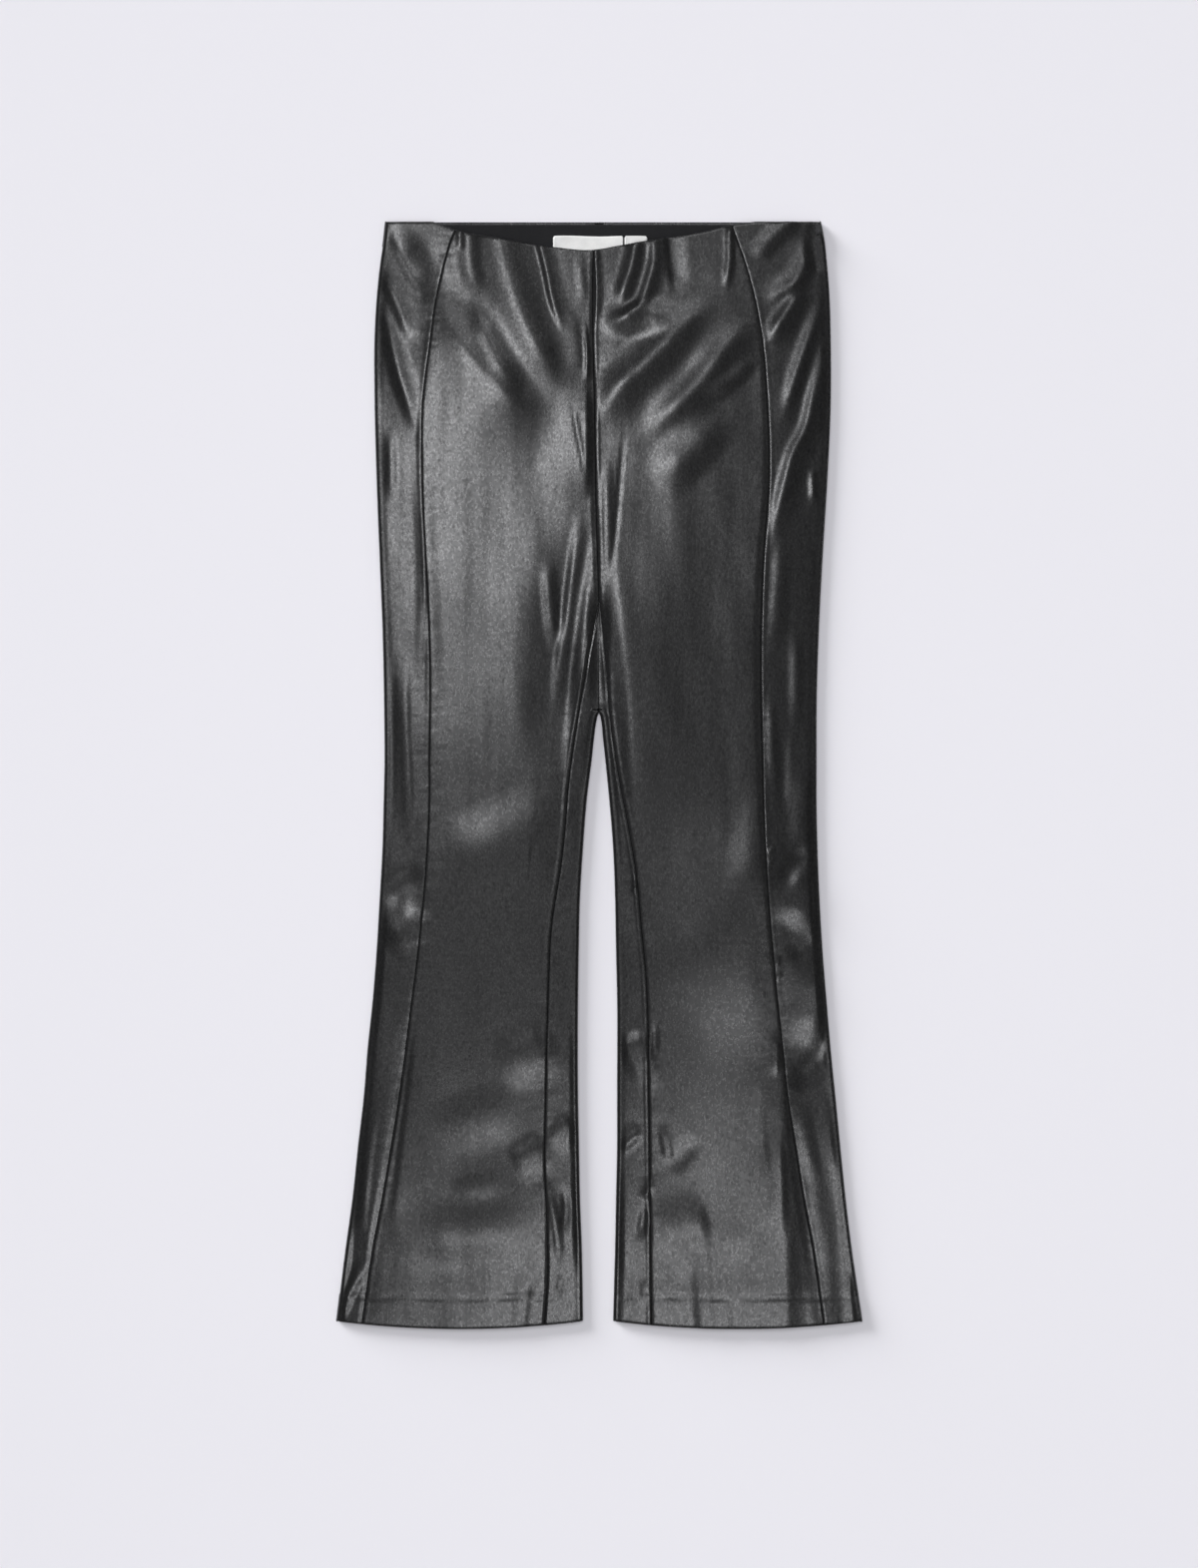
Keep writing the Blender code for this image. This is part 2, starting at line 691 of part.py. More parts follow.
def build_pull(collection, material):
    """The pull tab: a flat plate whose eye passes under the slider's bridge."""
    half = PULL_WIDTH / 2
    eye_top = -PULL_BAR / 2
    eye_bottom = eye_top - PULL_EYE_LENGTH
    half_eye = PULL_EYE_WIDTH / 2
    outline = rounded_outline(-half, half, -PULL_LENGTH, PULL_BAR / 2, PULL_ROUNDING)
    eye = rounded_outline(-half_eye, half_eye, eye_bottom, eye_top, PULL_EYE_ROUNDING)
    flat = bpy.data.curves.new("zip_pull", "CURVE")
    flat.dimensions = "2D"
    flat.fill_mode = "BOTH"
    flat.extrude = PULL_WALL / 2 * MM
    for ring in (outline, eye):
        spline = flat.splines.new("POLY")
        spline.points.add(len(ring) - 1)
        for point, (x, y) in zip(spline.points, ring):
            point.co = (x * MM, y * MM, 0, 1)
        spline.use_cyclic_u = True
    flat.materials.append(material)
    pull = bpy.data.objects.new("zip_pull", flat)
    collection.objects.link(pull)
    pivot = LAYERS + SLIDER_CLEARANCE + SLIDER_PLATE + BRIDGE_OPENING / 2
    place = to_metres(np.array([SLIDER_ACROSS, PULL_PIVOT_DROP, pivot]))
    pull.matrix_world = Matrix.Translation(place) @ Matrix.Rotation(PULL_SLOPE, 4, "X")


def main():
    """Builds the whole garment."""
    for obj in list(bpy.data.objects):
        bpy.data.objects.remove(obj, do_unlink=True)
    garment = bpy.data.collections.new("flared leggings")
    cutters = bpy.data.collections.new("cutters")
    for collection in (garment, cutters):
        bpy.context.scene.collection.children.link(collection)
    leather = principled("faux leather", (0.012, 0.012, 0.013), 0.38)
    elastic = principled("elastic", (0.016, 0.016, 0.017), 0.85)
    white = principled("woven white", (0.78, 0.78, 0.77), 0.7)
    black = principled("zip black", (0.01, 0.01, 0.011), 0.3)
    build_fronts(garment, leather)
    build_backs(garment, leather)
    build_waist(garment, elastic, white)
    build_chain(garment, black)
    build_slider(garment, cutters, black)
    build_pull(garment, black)


main()
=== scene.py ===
"""Looks of the faux leather flared leggings, laid flat with the front up.

+X is the wearer's left, +Y points to the waist and +Z is up. Sizes are in millimetres until a mesh
is made: "across" runs from the centre line towards the wearer's left, "drop" runs down from the
back waist edge, and "height" up from the ground. The wearer's right leg is at the picture's left.
Creases are given in pixels of the photograph, and their sizes are in millimetres.
"""

import logging
import math
from collections.abc import Callable, Sequence
from dataclasses import dataclass
from enum import Enum
from typing import NamedTuple

import bmesh
import bpy
import numpy as np
from mathutils import Matrix, Vector


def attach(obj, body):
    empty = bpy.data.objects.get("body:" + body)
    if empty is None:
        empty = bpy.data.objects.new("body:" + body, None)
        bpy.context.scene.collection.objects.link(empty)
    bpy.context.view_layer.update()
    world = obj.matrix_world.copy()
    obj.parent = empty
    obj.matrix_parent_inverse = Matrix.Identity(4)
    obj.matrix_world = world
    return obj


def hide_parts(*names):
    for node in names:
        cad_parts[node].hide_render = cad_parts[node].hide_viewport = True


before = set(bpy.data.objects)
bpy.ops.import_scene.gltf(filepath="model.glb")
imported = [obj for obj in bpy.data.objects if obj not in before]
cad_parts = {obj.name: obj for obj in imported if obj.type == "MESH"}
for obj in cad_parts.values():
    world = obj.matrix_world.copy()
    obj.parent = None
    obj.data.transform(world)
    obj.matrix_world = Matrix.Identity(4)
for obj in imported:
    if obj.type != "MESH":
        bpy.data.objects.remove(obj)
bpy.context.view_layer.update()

log = logging.getLogger("leggings")
Numbers = np.ndarray
Colour = tuple[float, float, float]

MM = 0.001
PER_METRE = 1000.0  # millimetres in a metre
TINY = 1e-9  # keeps a length from being 0
NOISE_MIDDLE = 0.5  # of a noise that runs from 0 to 1

# The photograph's frame, and where the garment lies in it
PHOTO_WIDTH, PHOTO_HEIGHT = 1200, 1571
PIXEL = 0.85  # millimetres of the garment in one pixel
CENTRE_PIXEL = 600.5
WAIST_PIXEL = 223.0

# Driving sizes
SIDE_LENGTH = 935.0
HEM_SAG = 6.5
HALF_LENGTH = (SIDE_LENGTH + HEM_SAG) / 2
CROTCH_DROP = 322.0
GAP_DROP = 418.0
CENTRE = -0.5
HEM_RAMP_DROP = 830.0
FRONT_DIP_REACH = 80.0
EDGE_RADIUS = 2.75
LAYERS = 2 * EDGE_RADIUS
BOUNDARY_ROUNDS = 3


class Side(Enum):
    """The wearer's side that a panel is on."""

    RIGHT = "right"
    LEFT = "left"

    @property
    def out(self) -> int:
        """+1 where the side's outer edge lies towards +X, -1 where it lies towards -X."""
        return 1 if self is Side.LEFT else -1


class Section(NamedTuple):
    """The outer edges and the panel seams at one drop."""

    drop: float
    right_edge: float
    right_seam: float
    left_seam: float
    left_edge: float


SECTIONS = (
    Section(0, -182.5, -120, 112, 189),
    Section(15, -184, -126.3, 117, 191.7),
    Section(32, -186.5, -131.3, 123, 193.5),
    Section(65, -190, -139, 132, 196),
    Section(98, -191.7, -143.6, 138, 196.9),
    Section(150, -191.7, -150.2, 142.4, 197),
    Section(218, -190, -150.6, 144.1, 194.2),
    Section(286, -187.4, -147.5, 139.4, 190),
    Section(345, -185, -144.9, 137.3, 187),
    Section(410, -183.6, -144.1, 137.4, 185),
    Section(455, -183.2, -144.8, 138.4, 184.9),
    Section(495, -184, -144.8, 139.4, 184.9),
    Section(533, -185, -146.6, 141, 185.7),
    Section(576, -187.4, -149.8, 143.5, 187.4),
    Section(620, -190, -154.2, 147.3, 190),
    Section(665, -193.6, -160.1, 151.5, 193.6),
    Section(703, -197.6, -164.9, 155.8, 196.8),
    Section(745, -201, -170.4, 160.2, 201),
    Section(788, -206, -177.4, 166.7, 205.2),
    Section(830, -210.4, -184.8, 173.5, 209.5),
    Section(873, -216.3, -193, 181.5, 214.7),
    Section(935, -224, -202, 190.5, 224),
)


class Pair(NamedTuple):
    """A seam or an edge of each leg at one drop."""

    drop: float
    right: float
    left: float


INSEAMS = (
    Pair(322, -0.5, -0.5),
    Pair(348, -5.1, 2.8),
    Pair(383, -11.5, 5.9),
    Pair(418, -17.8, 8.4),
    Pair(455, -23.4, 13.2),
    Pair(480, -26.4, 17.6),
    Pair(518, -29.4, 25.1),
    Pair(552, -33.4, 31),
    Pair(600, -40.9, 35.6),
    Pair(640, -43, 39.5),
    Pair(692, -44.6, 41.6),
    Pair(745, -45.8, 42.1),
    Pair(798, -46.7, 42.9),
    Pair(852, -44.7, 43.4),
    Pair(892, -43.9, 43.8),
    Pair(935, -46.7, 44.2),
)

INNER_EDGES = (
    Pair(418, -0.65, -0.35),
    Pair(419.5, -1.5, 0.4),
    Pair(423, -2.3, 1.2),
    Pair(440, -4.7, 3),
    Pair(456, -6.4, 4.7),
    Pair(490, -10.6, 8.1),
    Pair(533, -14, 11.5),
    Pair(576, -16.6, 13.2),
    Pair(620, -17.6, 14),
    Pair(660, -18.2, 14.9),
    Pair(745, -18.2, 14.9),
    Pair(788, -17.4, 14.9),
    Pair(830, -16.6, 14),
    Pair(873, -15, 13.2),
    Pair(935, -14, 11.5),
)


class SeamPoint(NamedTuple):
    """A point of the centre front seam."""

    drop: float
    across: float


CENTRE_SEAM = (
    SeamPoint(20, -5.5),
    SeamPoint(100, -5.5),
    SeamPoint(134, -4.8),
    SeamPoint(185, -3.8),
    SeamPoint(236, -3),
    SeamPoint(270, -2.1),
    SeamPoint(322, -0.5),
)


class WaistPoint(NamedTuple):
    """How far the front waist edge dips below the back one."""

    across: float
    dip: float


FRONT_WAIST = (
    WaistPoint(-142, 0),
    WaistPoint(-123, 7),
    WaistPoint(-85, 14.5),
    WaistPoint(-40, 21.5),
    WaistPoint(-7, 24.2),
    WaistPoint(21, 19.6),
    WaistPoint(50, 14.6),
    WaistPoint(85, 9.4),
    WaistPoint(114, 2.6),
    WaistPoint(133, 0),
)


class Turn(NamedTuple):
    """How the fold at the crotch turns from lying under the seat seam to running down the leg."""

    below_gap: float
    degrees: float


CROTCH_TURN = (Turn(0, 90), Turn(1.5, 50), Turn(5, 12), Turn(12, 0))


def smooth(value: Numbers | float) -> Numbers | float:
    """An eased step from 0 to 1."""
    value = np.clip(value, 0, 1)
    return value * value * (3 - 2 * value)


class Curve:
    """A smooth line through the places and values of a table."""

    def __init__(self, places: Sequence[float], values: Sequence[float]) -> None:
        """Keeps the table and works out its slopes.

        Args:
            places: where the values are, rising.
            values: what the curve runs through.
        """
        self.places = np.array(places, float)
        self.values = np.array(values, float)
        self.slopes = np.gradient(self.values, self.places)

    def __call__(self, place: Numbers | float) -> Numbers:
        """The curve's value at each place, held level past its ends.

        Args:
            place: one or more places.

        Returns:
            The values there.
        """
        place = np.clip(place, self.places[0], self.places[-1])
        index = np.searchsorted(self.places, place, side="right") - 1
        index = np.clip(index, 0, len(self.places) - 2)
        span = self.places[index + 1] - self.places[index]
        t = (place - self.places[index]) / span
        rise = self.values[index + 1] - self.values[index]
        bend = (self.slopes[index] * span - rise) * (1 - t)
        bend = bend - (self.slopes[index + 1] * span - rise) * t
        return self.values[index] + rise * t + t * (1 - t) * bend

    @classmethod
    def of(cls, rows: Sequence[NamedTuple], place: str, value: str) -> "Curve":
        """The curve of one named column of a table."""
        return cls([getattr(row, place) for row in rows], [getattr(row, value) for row in rows])


class Cut:
    """The garment's outline, its seams and the curves of its waist and hems."""

    def __init__(self) -> None:
        """Fits a curve through each column of the tables."""
        self.outer_edge = {side: Curve.of(SECTIONS, "drop", f"{side.value}_edge") for side in Side}
        self.panel_seam = {side: Curve.of(SECTIONS, "drop", f"{side.value}_seam") for side in Side}
        self.inseam = {side: Curve.of(INSEAMS, "drop", side.value) for side in Side}
        self.inner_edge = {side: Curve.of(INNER_EDGES, "drop", side.value) for side in Side}
        self.centre_seam = Curve.of(CENTRE_SEAM, "drop", "across")
        self.front_waist = Curve.of(FRONT_WAIST, "across", "dip")
        self.crotch_turn = Curve.of(CROTCH_TURN, "below_gap", "degrees")

    def front_inner_seam(self, side: Side, drop: Numbers) -> Numbers:
        """Across of a front centre panel's inner seam: the centre front seam, then the inseam."""
        return np.where(drop <= CROTCH_DROP, self.centre_seam(drop), self.inseam[side](drop))

    def front_dip(self, across: Numbers, row_drop: Numbers) -> Numbers:
        """How far the front waist's dip moves a row down. It fades with the row's own drop."""
        fade = np.clip(1 - row_drop / FRONT_DIP_REACH, 0, 1)
        return np.clip(self.front_waist(across), 0, None) * fade

    def hem_arc(self, side: Side, across: Numbers, row_drop: Numbers) -> Numbers:
        """How far the hem's curve moves a row down.

        Args:
            side: the leg.
            across: places on the row.
            row_drop: the row's own drop.

        Returns:
            The move at each place.
        """
        inner = self.inner_edge[side](row_drop)
        outer = self.outer_edge[side](row_drop)
        t = 2 * (across - inner) / (outer - inner) - 1
        ramp = smooth((row_drop - HEM_RAMP_DROP) / (SIDE_LENGTH - HEM_RAMP_DROP))
        return HEM_SAG * np.clip(1 - t * t, 0, 1) * ramp

    def moved_row(
        self, side: Side, row_drop: Numbers, across_at: Callable[[Numbers], Numbers]
    ) -> Numbers:
        """Across of a boundary where the moved rows cross it.

        Args:
            side: the leg.
            row_drop: the rows' own drops.
            across_at: the boundary's across at a drop.

        Returns:
            One across for each row.
        """
        drop = row_drop
        for _ in range(BOUNDARY_ROUNDS):
            across = across_at(drop)
            drop = row_drop + self.front_dip(across, row_drop)
            drop = drop + self.hem_arc(side, across, row_drop)
        return across

    def edge_distance(self, across: Numbers, drop: Numbers) -> Numbers:
        """How far a point of the front lies from the nearest rolled edge.

        Args:
            across: the points' across.
            drop: their drop.

        Returns:
            The distances.
        """
        left = self.outer_edge[Side.LEFT](drop) - across
        right = across - self.outer_edge[Side.RIGHT](drop)
        to_left_leg = across - self.inner_edge[Side.LEFT](drop)
        to_right_leg = self.inner_edge[Side.RIGHT](drop) - across
        to_inner = np.where(across > CENTRE, to_left_leg, to_right_leg)
        to_gap = np.hypot(across - CENTRE, np.clip(GAP_DROP - drop, 0, None))
        inside = np.where(drop > GAP_DROP, to_inner, to_gap)
        return np.minimum(np.minimum(left, right), inside)


class Crest(Enum):
    """How a fold's top is shaped."""

    ROUND = "round"
    PINCHED = "pinched"


class Ends(Enum):
    """Which ends of a fold fade out."""

    BOTH_FADE = "both fade"
    OPEN_START = "open start"
    OPEN_END = "open end"


@dataclass(frozen=True)
class Fold:
    """A soft ridge, or a trough where its height is negative, along a smooth line.

    The line's points are pixels of the photograph. It is drawn downwards, or from right to left
    where it runs across, so its left side is also its upper one.
    """

    line: tuple[tuple[float, float], ...]
    height: float
    left: float
    right: float
    crest: Crest = Crest.ROUND
    ends: Ends = Ends.BOTH_FADE

    STEP = 3.0
    CREST_SHARE = 0.3
    FADE = 0.38

    def path(self) -> Numbers:
        """The line as close points in millimetres.

        Returns:
            The across and the drop of each point.
        """
        points = np.array(self.line, float)
        points = (points - (CENTRE_PIXEL, WAIST_PIXEL)) * PIXEL
        spans = np.hypot(*np.diff(points, axis=0).T)
        places = np.concatenate([[0], np.cumsum(spans)])
        steps = max(2, round(places[-1] / self.STEP))
        at = np.linspace(0, places[-1], steps + 1)
        return np.stack([Curve(places, points[:, axis])(at) for axis in range(2)], axis=-1)

    def profile(self, distance: Numbers, reach: Numbers) -> Numbers:
        """The fold's share of its height beside its line.

        Args:
            distance: how far each point lies from the line.
            reach: how far the fold reaches on that point's side.

        Returns:
            The shares, 1 on the line.
        """
        if self.crest is Crest.ROUND:
            return np.cos(np.clip(distance / reach, 0, 1) * np.pi / 2) ** 2
        radius = self.CREST_SHARE * min(self.left, self.right)
        slid = (np.hypot(distance, radius) - radius) / reach
        return np.clip(1 - slid, 0, 1) ** 2

    def taper(self, along: Numbers) -> Numbers:
        """The fold's share of its height along its line.

        Args:
            along: how far along the line each point lies, from 0 to 1.

        Returns:
            The shares, which fall to 0 at an end that fades.
        """
        start = 1 if self.ends is Ends.OPEN_START else smooth(along / self.FADE)
        end = 1 if self.ends is Ends.OPEN_END else smooth((1 - along) / self.FADE)
        return start * end

    def add_to(self, height: Numbers, across: Numbers, drop: Numbers) -> None:
        """Adds the fold to a field of heights.

        Args:
            height: the field, changed in place.
            across: the across of its points.
            drop: their drop.
        """
        path = self.path()
        margin = max(self.left, self.right)
        low, high = path.min(axis=0) - margin, path.max(axis=0) + margin
        near = (across > low[0]) & (across < high[0]) & (drop > low[1]) & (drop < high[1])
        if not near.any():
            return
        point = np.stack([across[near], drop[near]], axis=-1)[:, None, :]
        start, step = path[:-1], np.diff(path, axis=0)
        length = np.hypot(*step.T)
        offset = point - start
        t = np.clip((offset * step).sum(axis=-1) / length**2, 0, 1)
        distance = np.linalg.norm(offset - t[..., None] * step, axis=-1)
        nearest = distance.argmin(axis=1)
        rows = np.arange(len(nearest))
        ahead, beside = step[nearest], offset[rows, nearest]
        turned = ahead[:, 0] * beside[:, 1] - ahead[:, 1] * beside[:, 0]
        reach = np.where(turned > 0, self.left, self.right)
        before = np.concatenate([[0], np.cumsum(length)])
        along = (before[nearest] + t[rows, nearest] * length[nearest]) / before[-1]
        share = self.profile(distance[rows, nearest], reach) * self.taper(along)
        height[near] += self.height * share


PINCHED = Crest.PINCHED
TOP = Ends.OPEN_START
FOOT = Ends.OPEN_END

RIGHT_CENTRE_FOLDS = (
    # Drag lines from the waist to the crotch
    Fold(((500, 234), (508, 270), (520, 308), (540, 352), (566, 404)), 3.0, 40, 27, PINCHED, TOP),
    Fold(((541, 244), (547, 268), (553, 298), (566, 338)), 1.2, 5, 12, PINCHED, TOP),
    Fold(((579, 250), (582, 276), (585, 306)), 0.3, 6, 6),
    Fold(((585, 320), (588, 350), (588, 390)), 0.7, 4, 3),
    Fold(((566, 306), (576, 342), (583, 384)), 0.6, 18, 9),
    Fold(((468, 296), (484, 330), (500, 362), (526, 396)), 1.7, 15, 17, PINCHED),
    Fold(((426, 292), (460, 342), (490, 382), (520, 408), (560, 428)), 3.2, 90, 24, PINCHED),
    Fold(((470, 230), (470, 262), (480, 300)), -0.6, 12, 12, Crest.ROUND, TOP),
    Fold(((461, 232), (462, 252)), 0.5, 5, 4, Crest.ROUND, TOP),
    Fold(((572, 396), (578, 430), (584, 462), (588, 488)), -0.4, 2.6, 2.6),
    Fold(((584, 366), (588, 430), (586, 508)), 1.6, 60, 5, PINCHED),
    # The panel seam stands on its allowances down to the knee
    Fold(((441, 262), (433, 330), (426, 400), (423, 440), (426, 520), (430, 620), (431, 704), (429, 790)),
         0.35, 6, 14),
    # Upper thigh and the Y beside the crotch
    Fold(((588, 505), (578, 570), (570, 640), (564, 720), (556, 800)), -1.9, 46, 14),
    Fold(((584, 500), (578, 545), (573, 585), (568, 625), (561, 668), (557, 725)), 1.1, 8, 12),
    Fold(((548, 555), (551, 600), (554, 630), (561, 664)), 0.8, 9, 9),
    # Knee
    Fold(((566, 850), (534, 830), (494, 846), (458, 858), (424, 864)), 0.9, 40, 60),
    # Lower leg
    Fold(((560, 1040), (530, 1056), (490, 1066)), 1.0, 30, 34),
    Fold(((530, 1112), (480, 1120), (430, 1140)), 0.7, 30, 34),
    Fold(((548, 1142), (530, 1156), (508, 1168)), 0.9, 16, 28),
    Fold(((508, 1184), (475, 1190), (446, 1196)), 0.3, 14, 18),
    Fold(((540, 1240), (490, 1234), (440, 1238), (396, 1222)), 0.9, 34, 30),
    Fold(((526, 1268), (524, 1300), (520, 1330)), 0.3, 11, 9, Crest.ROUND, FOOT),
    Fold(((540, 1276), (536, 1305), (533, 1330)), -0.45, 9, 8, Crest.ROUND, FOOT),
)

LEFT_CENTRE_FOLDS = (
    # Drag lines from the waist to the crotch
    Fold(((637, 243), (632, 268), (625, 290), (620, 314)), 1.5, 10, 12, PINCHED, TOP),
    Fold(((655, 242), (655, 262), (650, 282), (642, 303), (625, 317), (602, 328)), 1.2, 8, 11, PINCHED, TOP),
    Fold(((596, 250), (598, 290), (597, 335)), 0.5, 3, 6, Crest.ROUND, TOP),
    Fold(((684, 305), (650, 317), (625, 319), (598, 312)), 1.7, 18, 20),
    Fold(((718, 286), (700, 312), (684, 327), (664, 347), (642, 369), (622, 387), (606, 411), (599, 446)),
         2.7, 22, 30, PINCHED),
    Fold(((758, 308), (740, 334), (723, 353), (704, 380), (683, 402), (662, 420), (634, 442)),
         2.2, 22, 22, PINCHED),
    Fold(((759, 354), (727, 386), (702, 398)), 0.8, 12, 10),
    Fold(((728, 412), (701, 440), (677, 466), (652, 486)), 1.5, 28, 26),
    Fold(((627, 415), (622, 470), (617, 530), (610, 590)), -0.4, 2.6, 2.6),
    Fold(((608, 450), (608, 520), (606, 590)), 0.6, 9, 7),
    Fold(((731, 233), (731, 262), (727, 292)), 0.8, 6, 5, Crest.ROUND, TOP),
    Fold(((671, 240), (674, 272), (680, 298)), -0.8, 6, 17, Crest.ROUND, TOP),
    # Thigh: the cloth stands along the inner leg and falls away towards the panel seam
    Fold(((606, 440), (613, 510), (619, 560), (624, 620), (631, 690), (634, 750), (640, 850), (644, 940)),
         2.0, 22, 110, PINCHED),
    Fold(((758, 780), (754, 840), (738, 910)), 0.4, 22, 18),
    # Below the knee a broad ridge crosses the leg, and the flare billows beside the panel seam
    Fold(((812, 800), (770, 872), (734, 918), (696, 960), (620, 1004)), 3.2, 80, 130, PINCHED),
    Fold(((768, 1000), (777, 1070), (782, 1150), (787, 1250), (786, 1332)), 1.1, 50, 18,
         PINCHED, FOOT),
    Fold(((655, 1022), (656, 1042), (654, 1062)), -0.4, 4, 5),
    # Lower leg
    Fold(((663, 1124), (667, 1146), (671, 1170)), 0.5, 7, 7),
    Fold(((700, 1138), (684, 1156), (671, 1176)), -0.5, 13, 13),
    Fold(((712, 1216), (684, 1230), (654, 1244)), 0.8, 34, 24),
    Fold(((692, 1180), (700, 1226), (707, 1330)), 0.5, 12, 12, Crest.ROUND, FOOT),
    Fold(((682, 1262), (687, 1295), (690, 1330)), -0.45, 13, 12, Crest.ROUND, FOOT),
    Fold(((738, 1236), (740, 1280), (742, 1330)), -0.6, 17, 17, Crest.ROUND, FOOT),
    Fold(((776, 1120), (781, 1190), (781, 1250)), 0.6, 14, 8),
    Fold(((776, 1032), (778, 1056), (776, 1082)), 0.6, 9, 6),
    Fold(((758, 1084), (762, 1130), (766, 1180)), -0.35, 12, 8),
)

RIGHT_SIDE_FOLDS = (
    Fold(((394, 218), (402, 250), (416, 278), (433, 308)), -1.7, 13, 26),
    Fold(((379, 266), (392, 292), (402, 316), (413, 350)), 1.0, 8, 12, PINCHED),
    Fold(((382, 290), (390, 332), (398, 370), (408, 402), (419, 440)), 1.2, 8, 14, PINCHED),
    Fold(((390, 425), (391, 465), (391, 508)), 0.5, 6, 8),
    Fold(((417, 430), (421, 500), (424, 560), (423, 640), (419, 700)), 0.4, 8, 4),
    Fold(((408, 640), (406, 700), (409, 780), (411, 862)), 0.5, 10, 6),
    Fold(((393, 640), (392, 730), (393, 840)), -0.35, 6, 6),
    Fold(((427, 872), (408, 884), (392, 898), (380, 908)), -0.7, 16, 14),
    Fold(((426, 908), (405, 928), (382, 946)), 1.1, 20, 30),
    Fold(((414, 1000), (406, 1080), (396, 1160), (386, 1250)), -0.5, 14, 6),
    Fold(((380, 1090), (371, 1150), (361, 1250)), 0.25, 5, 5),
    Fold(((366, 1262), (354, 1286), (342, 1312)), 0.9, 8, 8, Crest.ROUND, FOOT),
)

LEFT_SIDE_FOLDS = (
    Fold(((790, 222), (772, 240), (754, 262)), 0.9, 12, 12, Crest.ROUND, TOP),
    Fold(((803, 236), (806, 264), (797, 283), (780, 294), (766, 308)), 1.6, 14, 9, PINCHED),
    Fold(((807, 278), (794, 304), (780, 326), (768, 352)), 1.7, 10, 17, PINCHED),
    Fold(((822, 286), (813, 330), (804, 357), (794, 388), (782, 432)), 1.3, 9, 9, PINCHED),
    Fold(((826, 316), (823, 360), (815, 396), (807, 429), (794, 456), (787, 482), (778, 520), (772, 570)),
         1.4, 8, 16, PINCHED),
    Fold(((814, 466), (815, 508)), 0.7, 5, 4),
    Fold(((797, 620), (798, 680), (797, 740)), 0.5, 9, 8),
    Fold(((784, 520), (779, 600), (775, 660)), 0.5, 9, 12),
    Fold(((772, 690), (773, 740), (774, 795)), 0.5, 7, 6),
    Fold(((785, 720), (784, 780), (782, 820)), -0.4, 7, 7),
    Fold(((808, 760), (806, 815), (808, 870)), 0.8, 18, 12),
    Fold(((820, 866), (806, 900), (790, 934)), 1.3, 30, 26),
    Fold(((812, 846), (796, 866), (778, 890)), -0.8, 12, 12),
    Fold(((824, 936), (806, 950), (786, 960)), -0.5, 14, 14),
    Fold(((822, 950), (818, 1005), (804, 1056)), 1.5, 34, 24),
    Fold(((832, 1046), (812, 1070), (790, 1092)), -0.9, 16, 16),
    Fold(((798, 1095), (806, 1140), (814, 1190)), 0.5, 11, 12),
    Fold(((826, 1130), (838, 1220), (846, 1320)), -0.4, 16, 8, Crest.ROUND, FOOT),
    Fold(((776, 848), (768, 858)), 0.5, 2.6, 2.6),
    Fold(((777, 858), (768, 867)), 0.4, 2.4, 2.4),
    Fold(((783, 960), (774, 969)), 0.5, 2.6, 2.6),
    Fold(((784, 974), (776, 982)), 0.35, 2.4, 2.4),
    Fold(((854, 1268), (853, 1304)), 0.35, 5, 5),
)

BACK_STRIP_FOLDS = (
    Fold(((600, 580), (600, 650), (600.5, 722)), -1.5, 11, 11),
    Fold(((583, 1138), (571, 1131), (556, 1120)), 0.7, 10, 30),
    Fold(((549, 1180), (553, 1208), (558, 1240), (563, 1276)), 0.7, 6, 6, PINCHED),
    Fold(((563, 1184), (567, 1208), (564, 1240)), -0.6, 5, 6),
    Fold(((580, 995), (581, 1018)), 0.5, 5, 4),
    Fold(((562, 1276), (560, 1300)), -0.4, 5, 5),
    Fold(((652, 1040), (634, 1048), (616, 1056)), 1.0, 16, 50),
    Fold(((645, 1130), (632, 1142), (616, 1155)), 0.9, 12, 7, PINCHED),
    Fold(((652, 1180), (650, 1191), (642, 1203)), 0.7, 6, 5, PINCHED),
    Fold(((646, 1206), (644, 1224), (640, 1244)), -0.7, 6, 6),
    Fold(((637, 874), (635, 898)), 0.5, 4, 3),
    Fold(((646, 1280), (645, 1308)), 0.35, 5, 4),
)

FOLDS = RIGHT_CENTRE_FOLDS + LEFT_CENTRE_FOLDS + RIGHT_SIDE_FOLDS + LEFT_SIDE_FOLDS + BACK_STRIP_FOLDS


@dataclass(frozen=True)
class Ripples:
    """Small uneven waves: many cosine waves of seeded directions and lengths."""

    seed: int
    across: float
    drop: float
    height: float

    WAVES = 26

    def at(self, across: Numbers, drop: Numbers) -> Numbers:
        """The waves' height at each point.

        Args:
            across: the points' across.
            drop: their drop.

        Returns:
            The heights, whose usual size is the field's height.
        """
        random = np.random.default_rng(self.seed)
        turns = random.normal(size=(self.WAVES, 2)) * (2 * np.pi / np.array([self.across, self.drop]))
        phases = random.uniform(0, 2 * np.pi, self.WAVES)
        total = np.zeros(np.broadcast(across, drop).shape)
        for (by_across, by_drop), phase in zip(turns, phases):
            total += np.cos(by_across * across + by_drop * drop + phase)
        return self.height * total * math.sqrt(2 / self.WAVES)


class SeamShape(NamedTuple):
    """How the cloth sinks towards a seam at one drop, as seen in the photograph."""

    drop: float
    depth: float
    left_reach: float
    right_reach: float
    left_lip: float
    right_lip: float


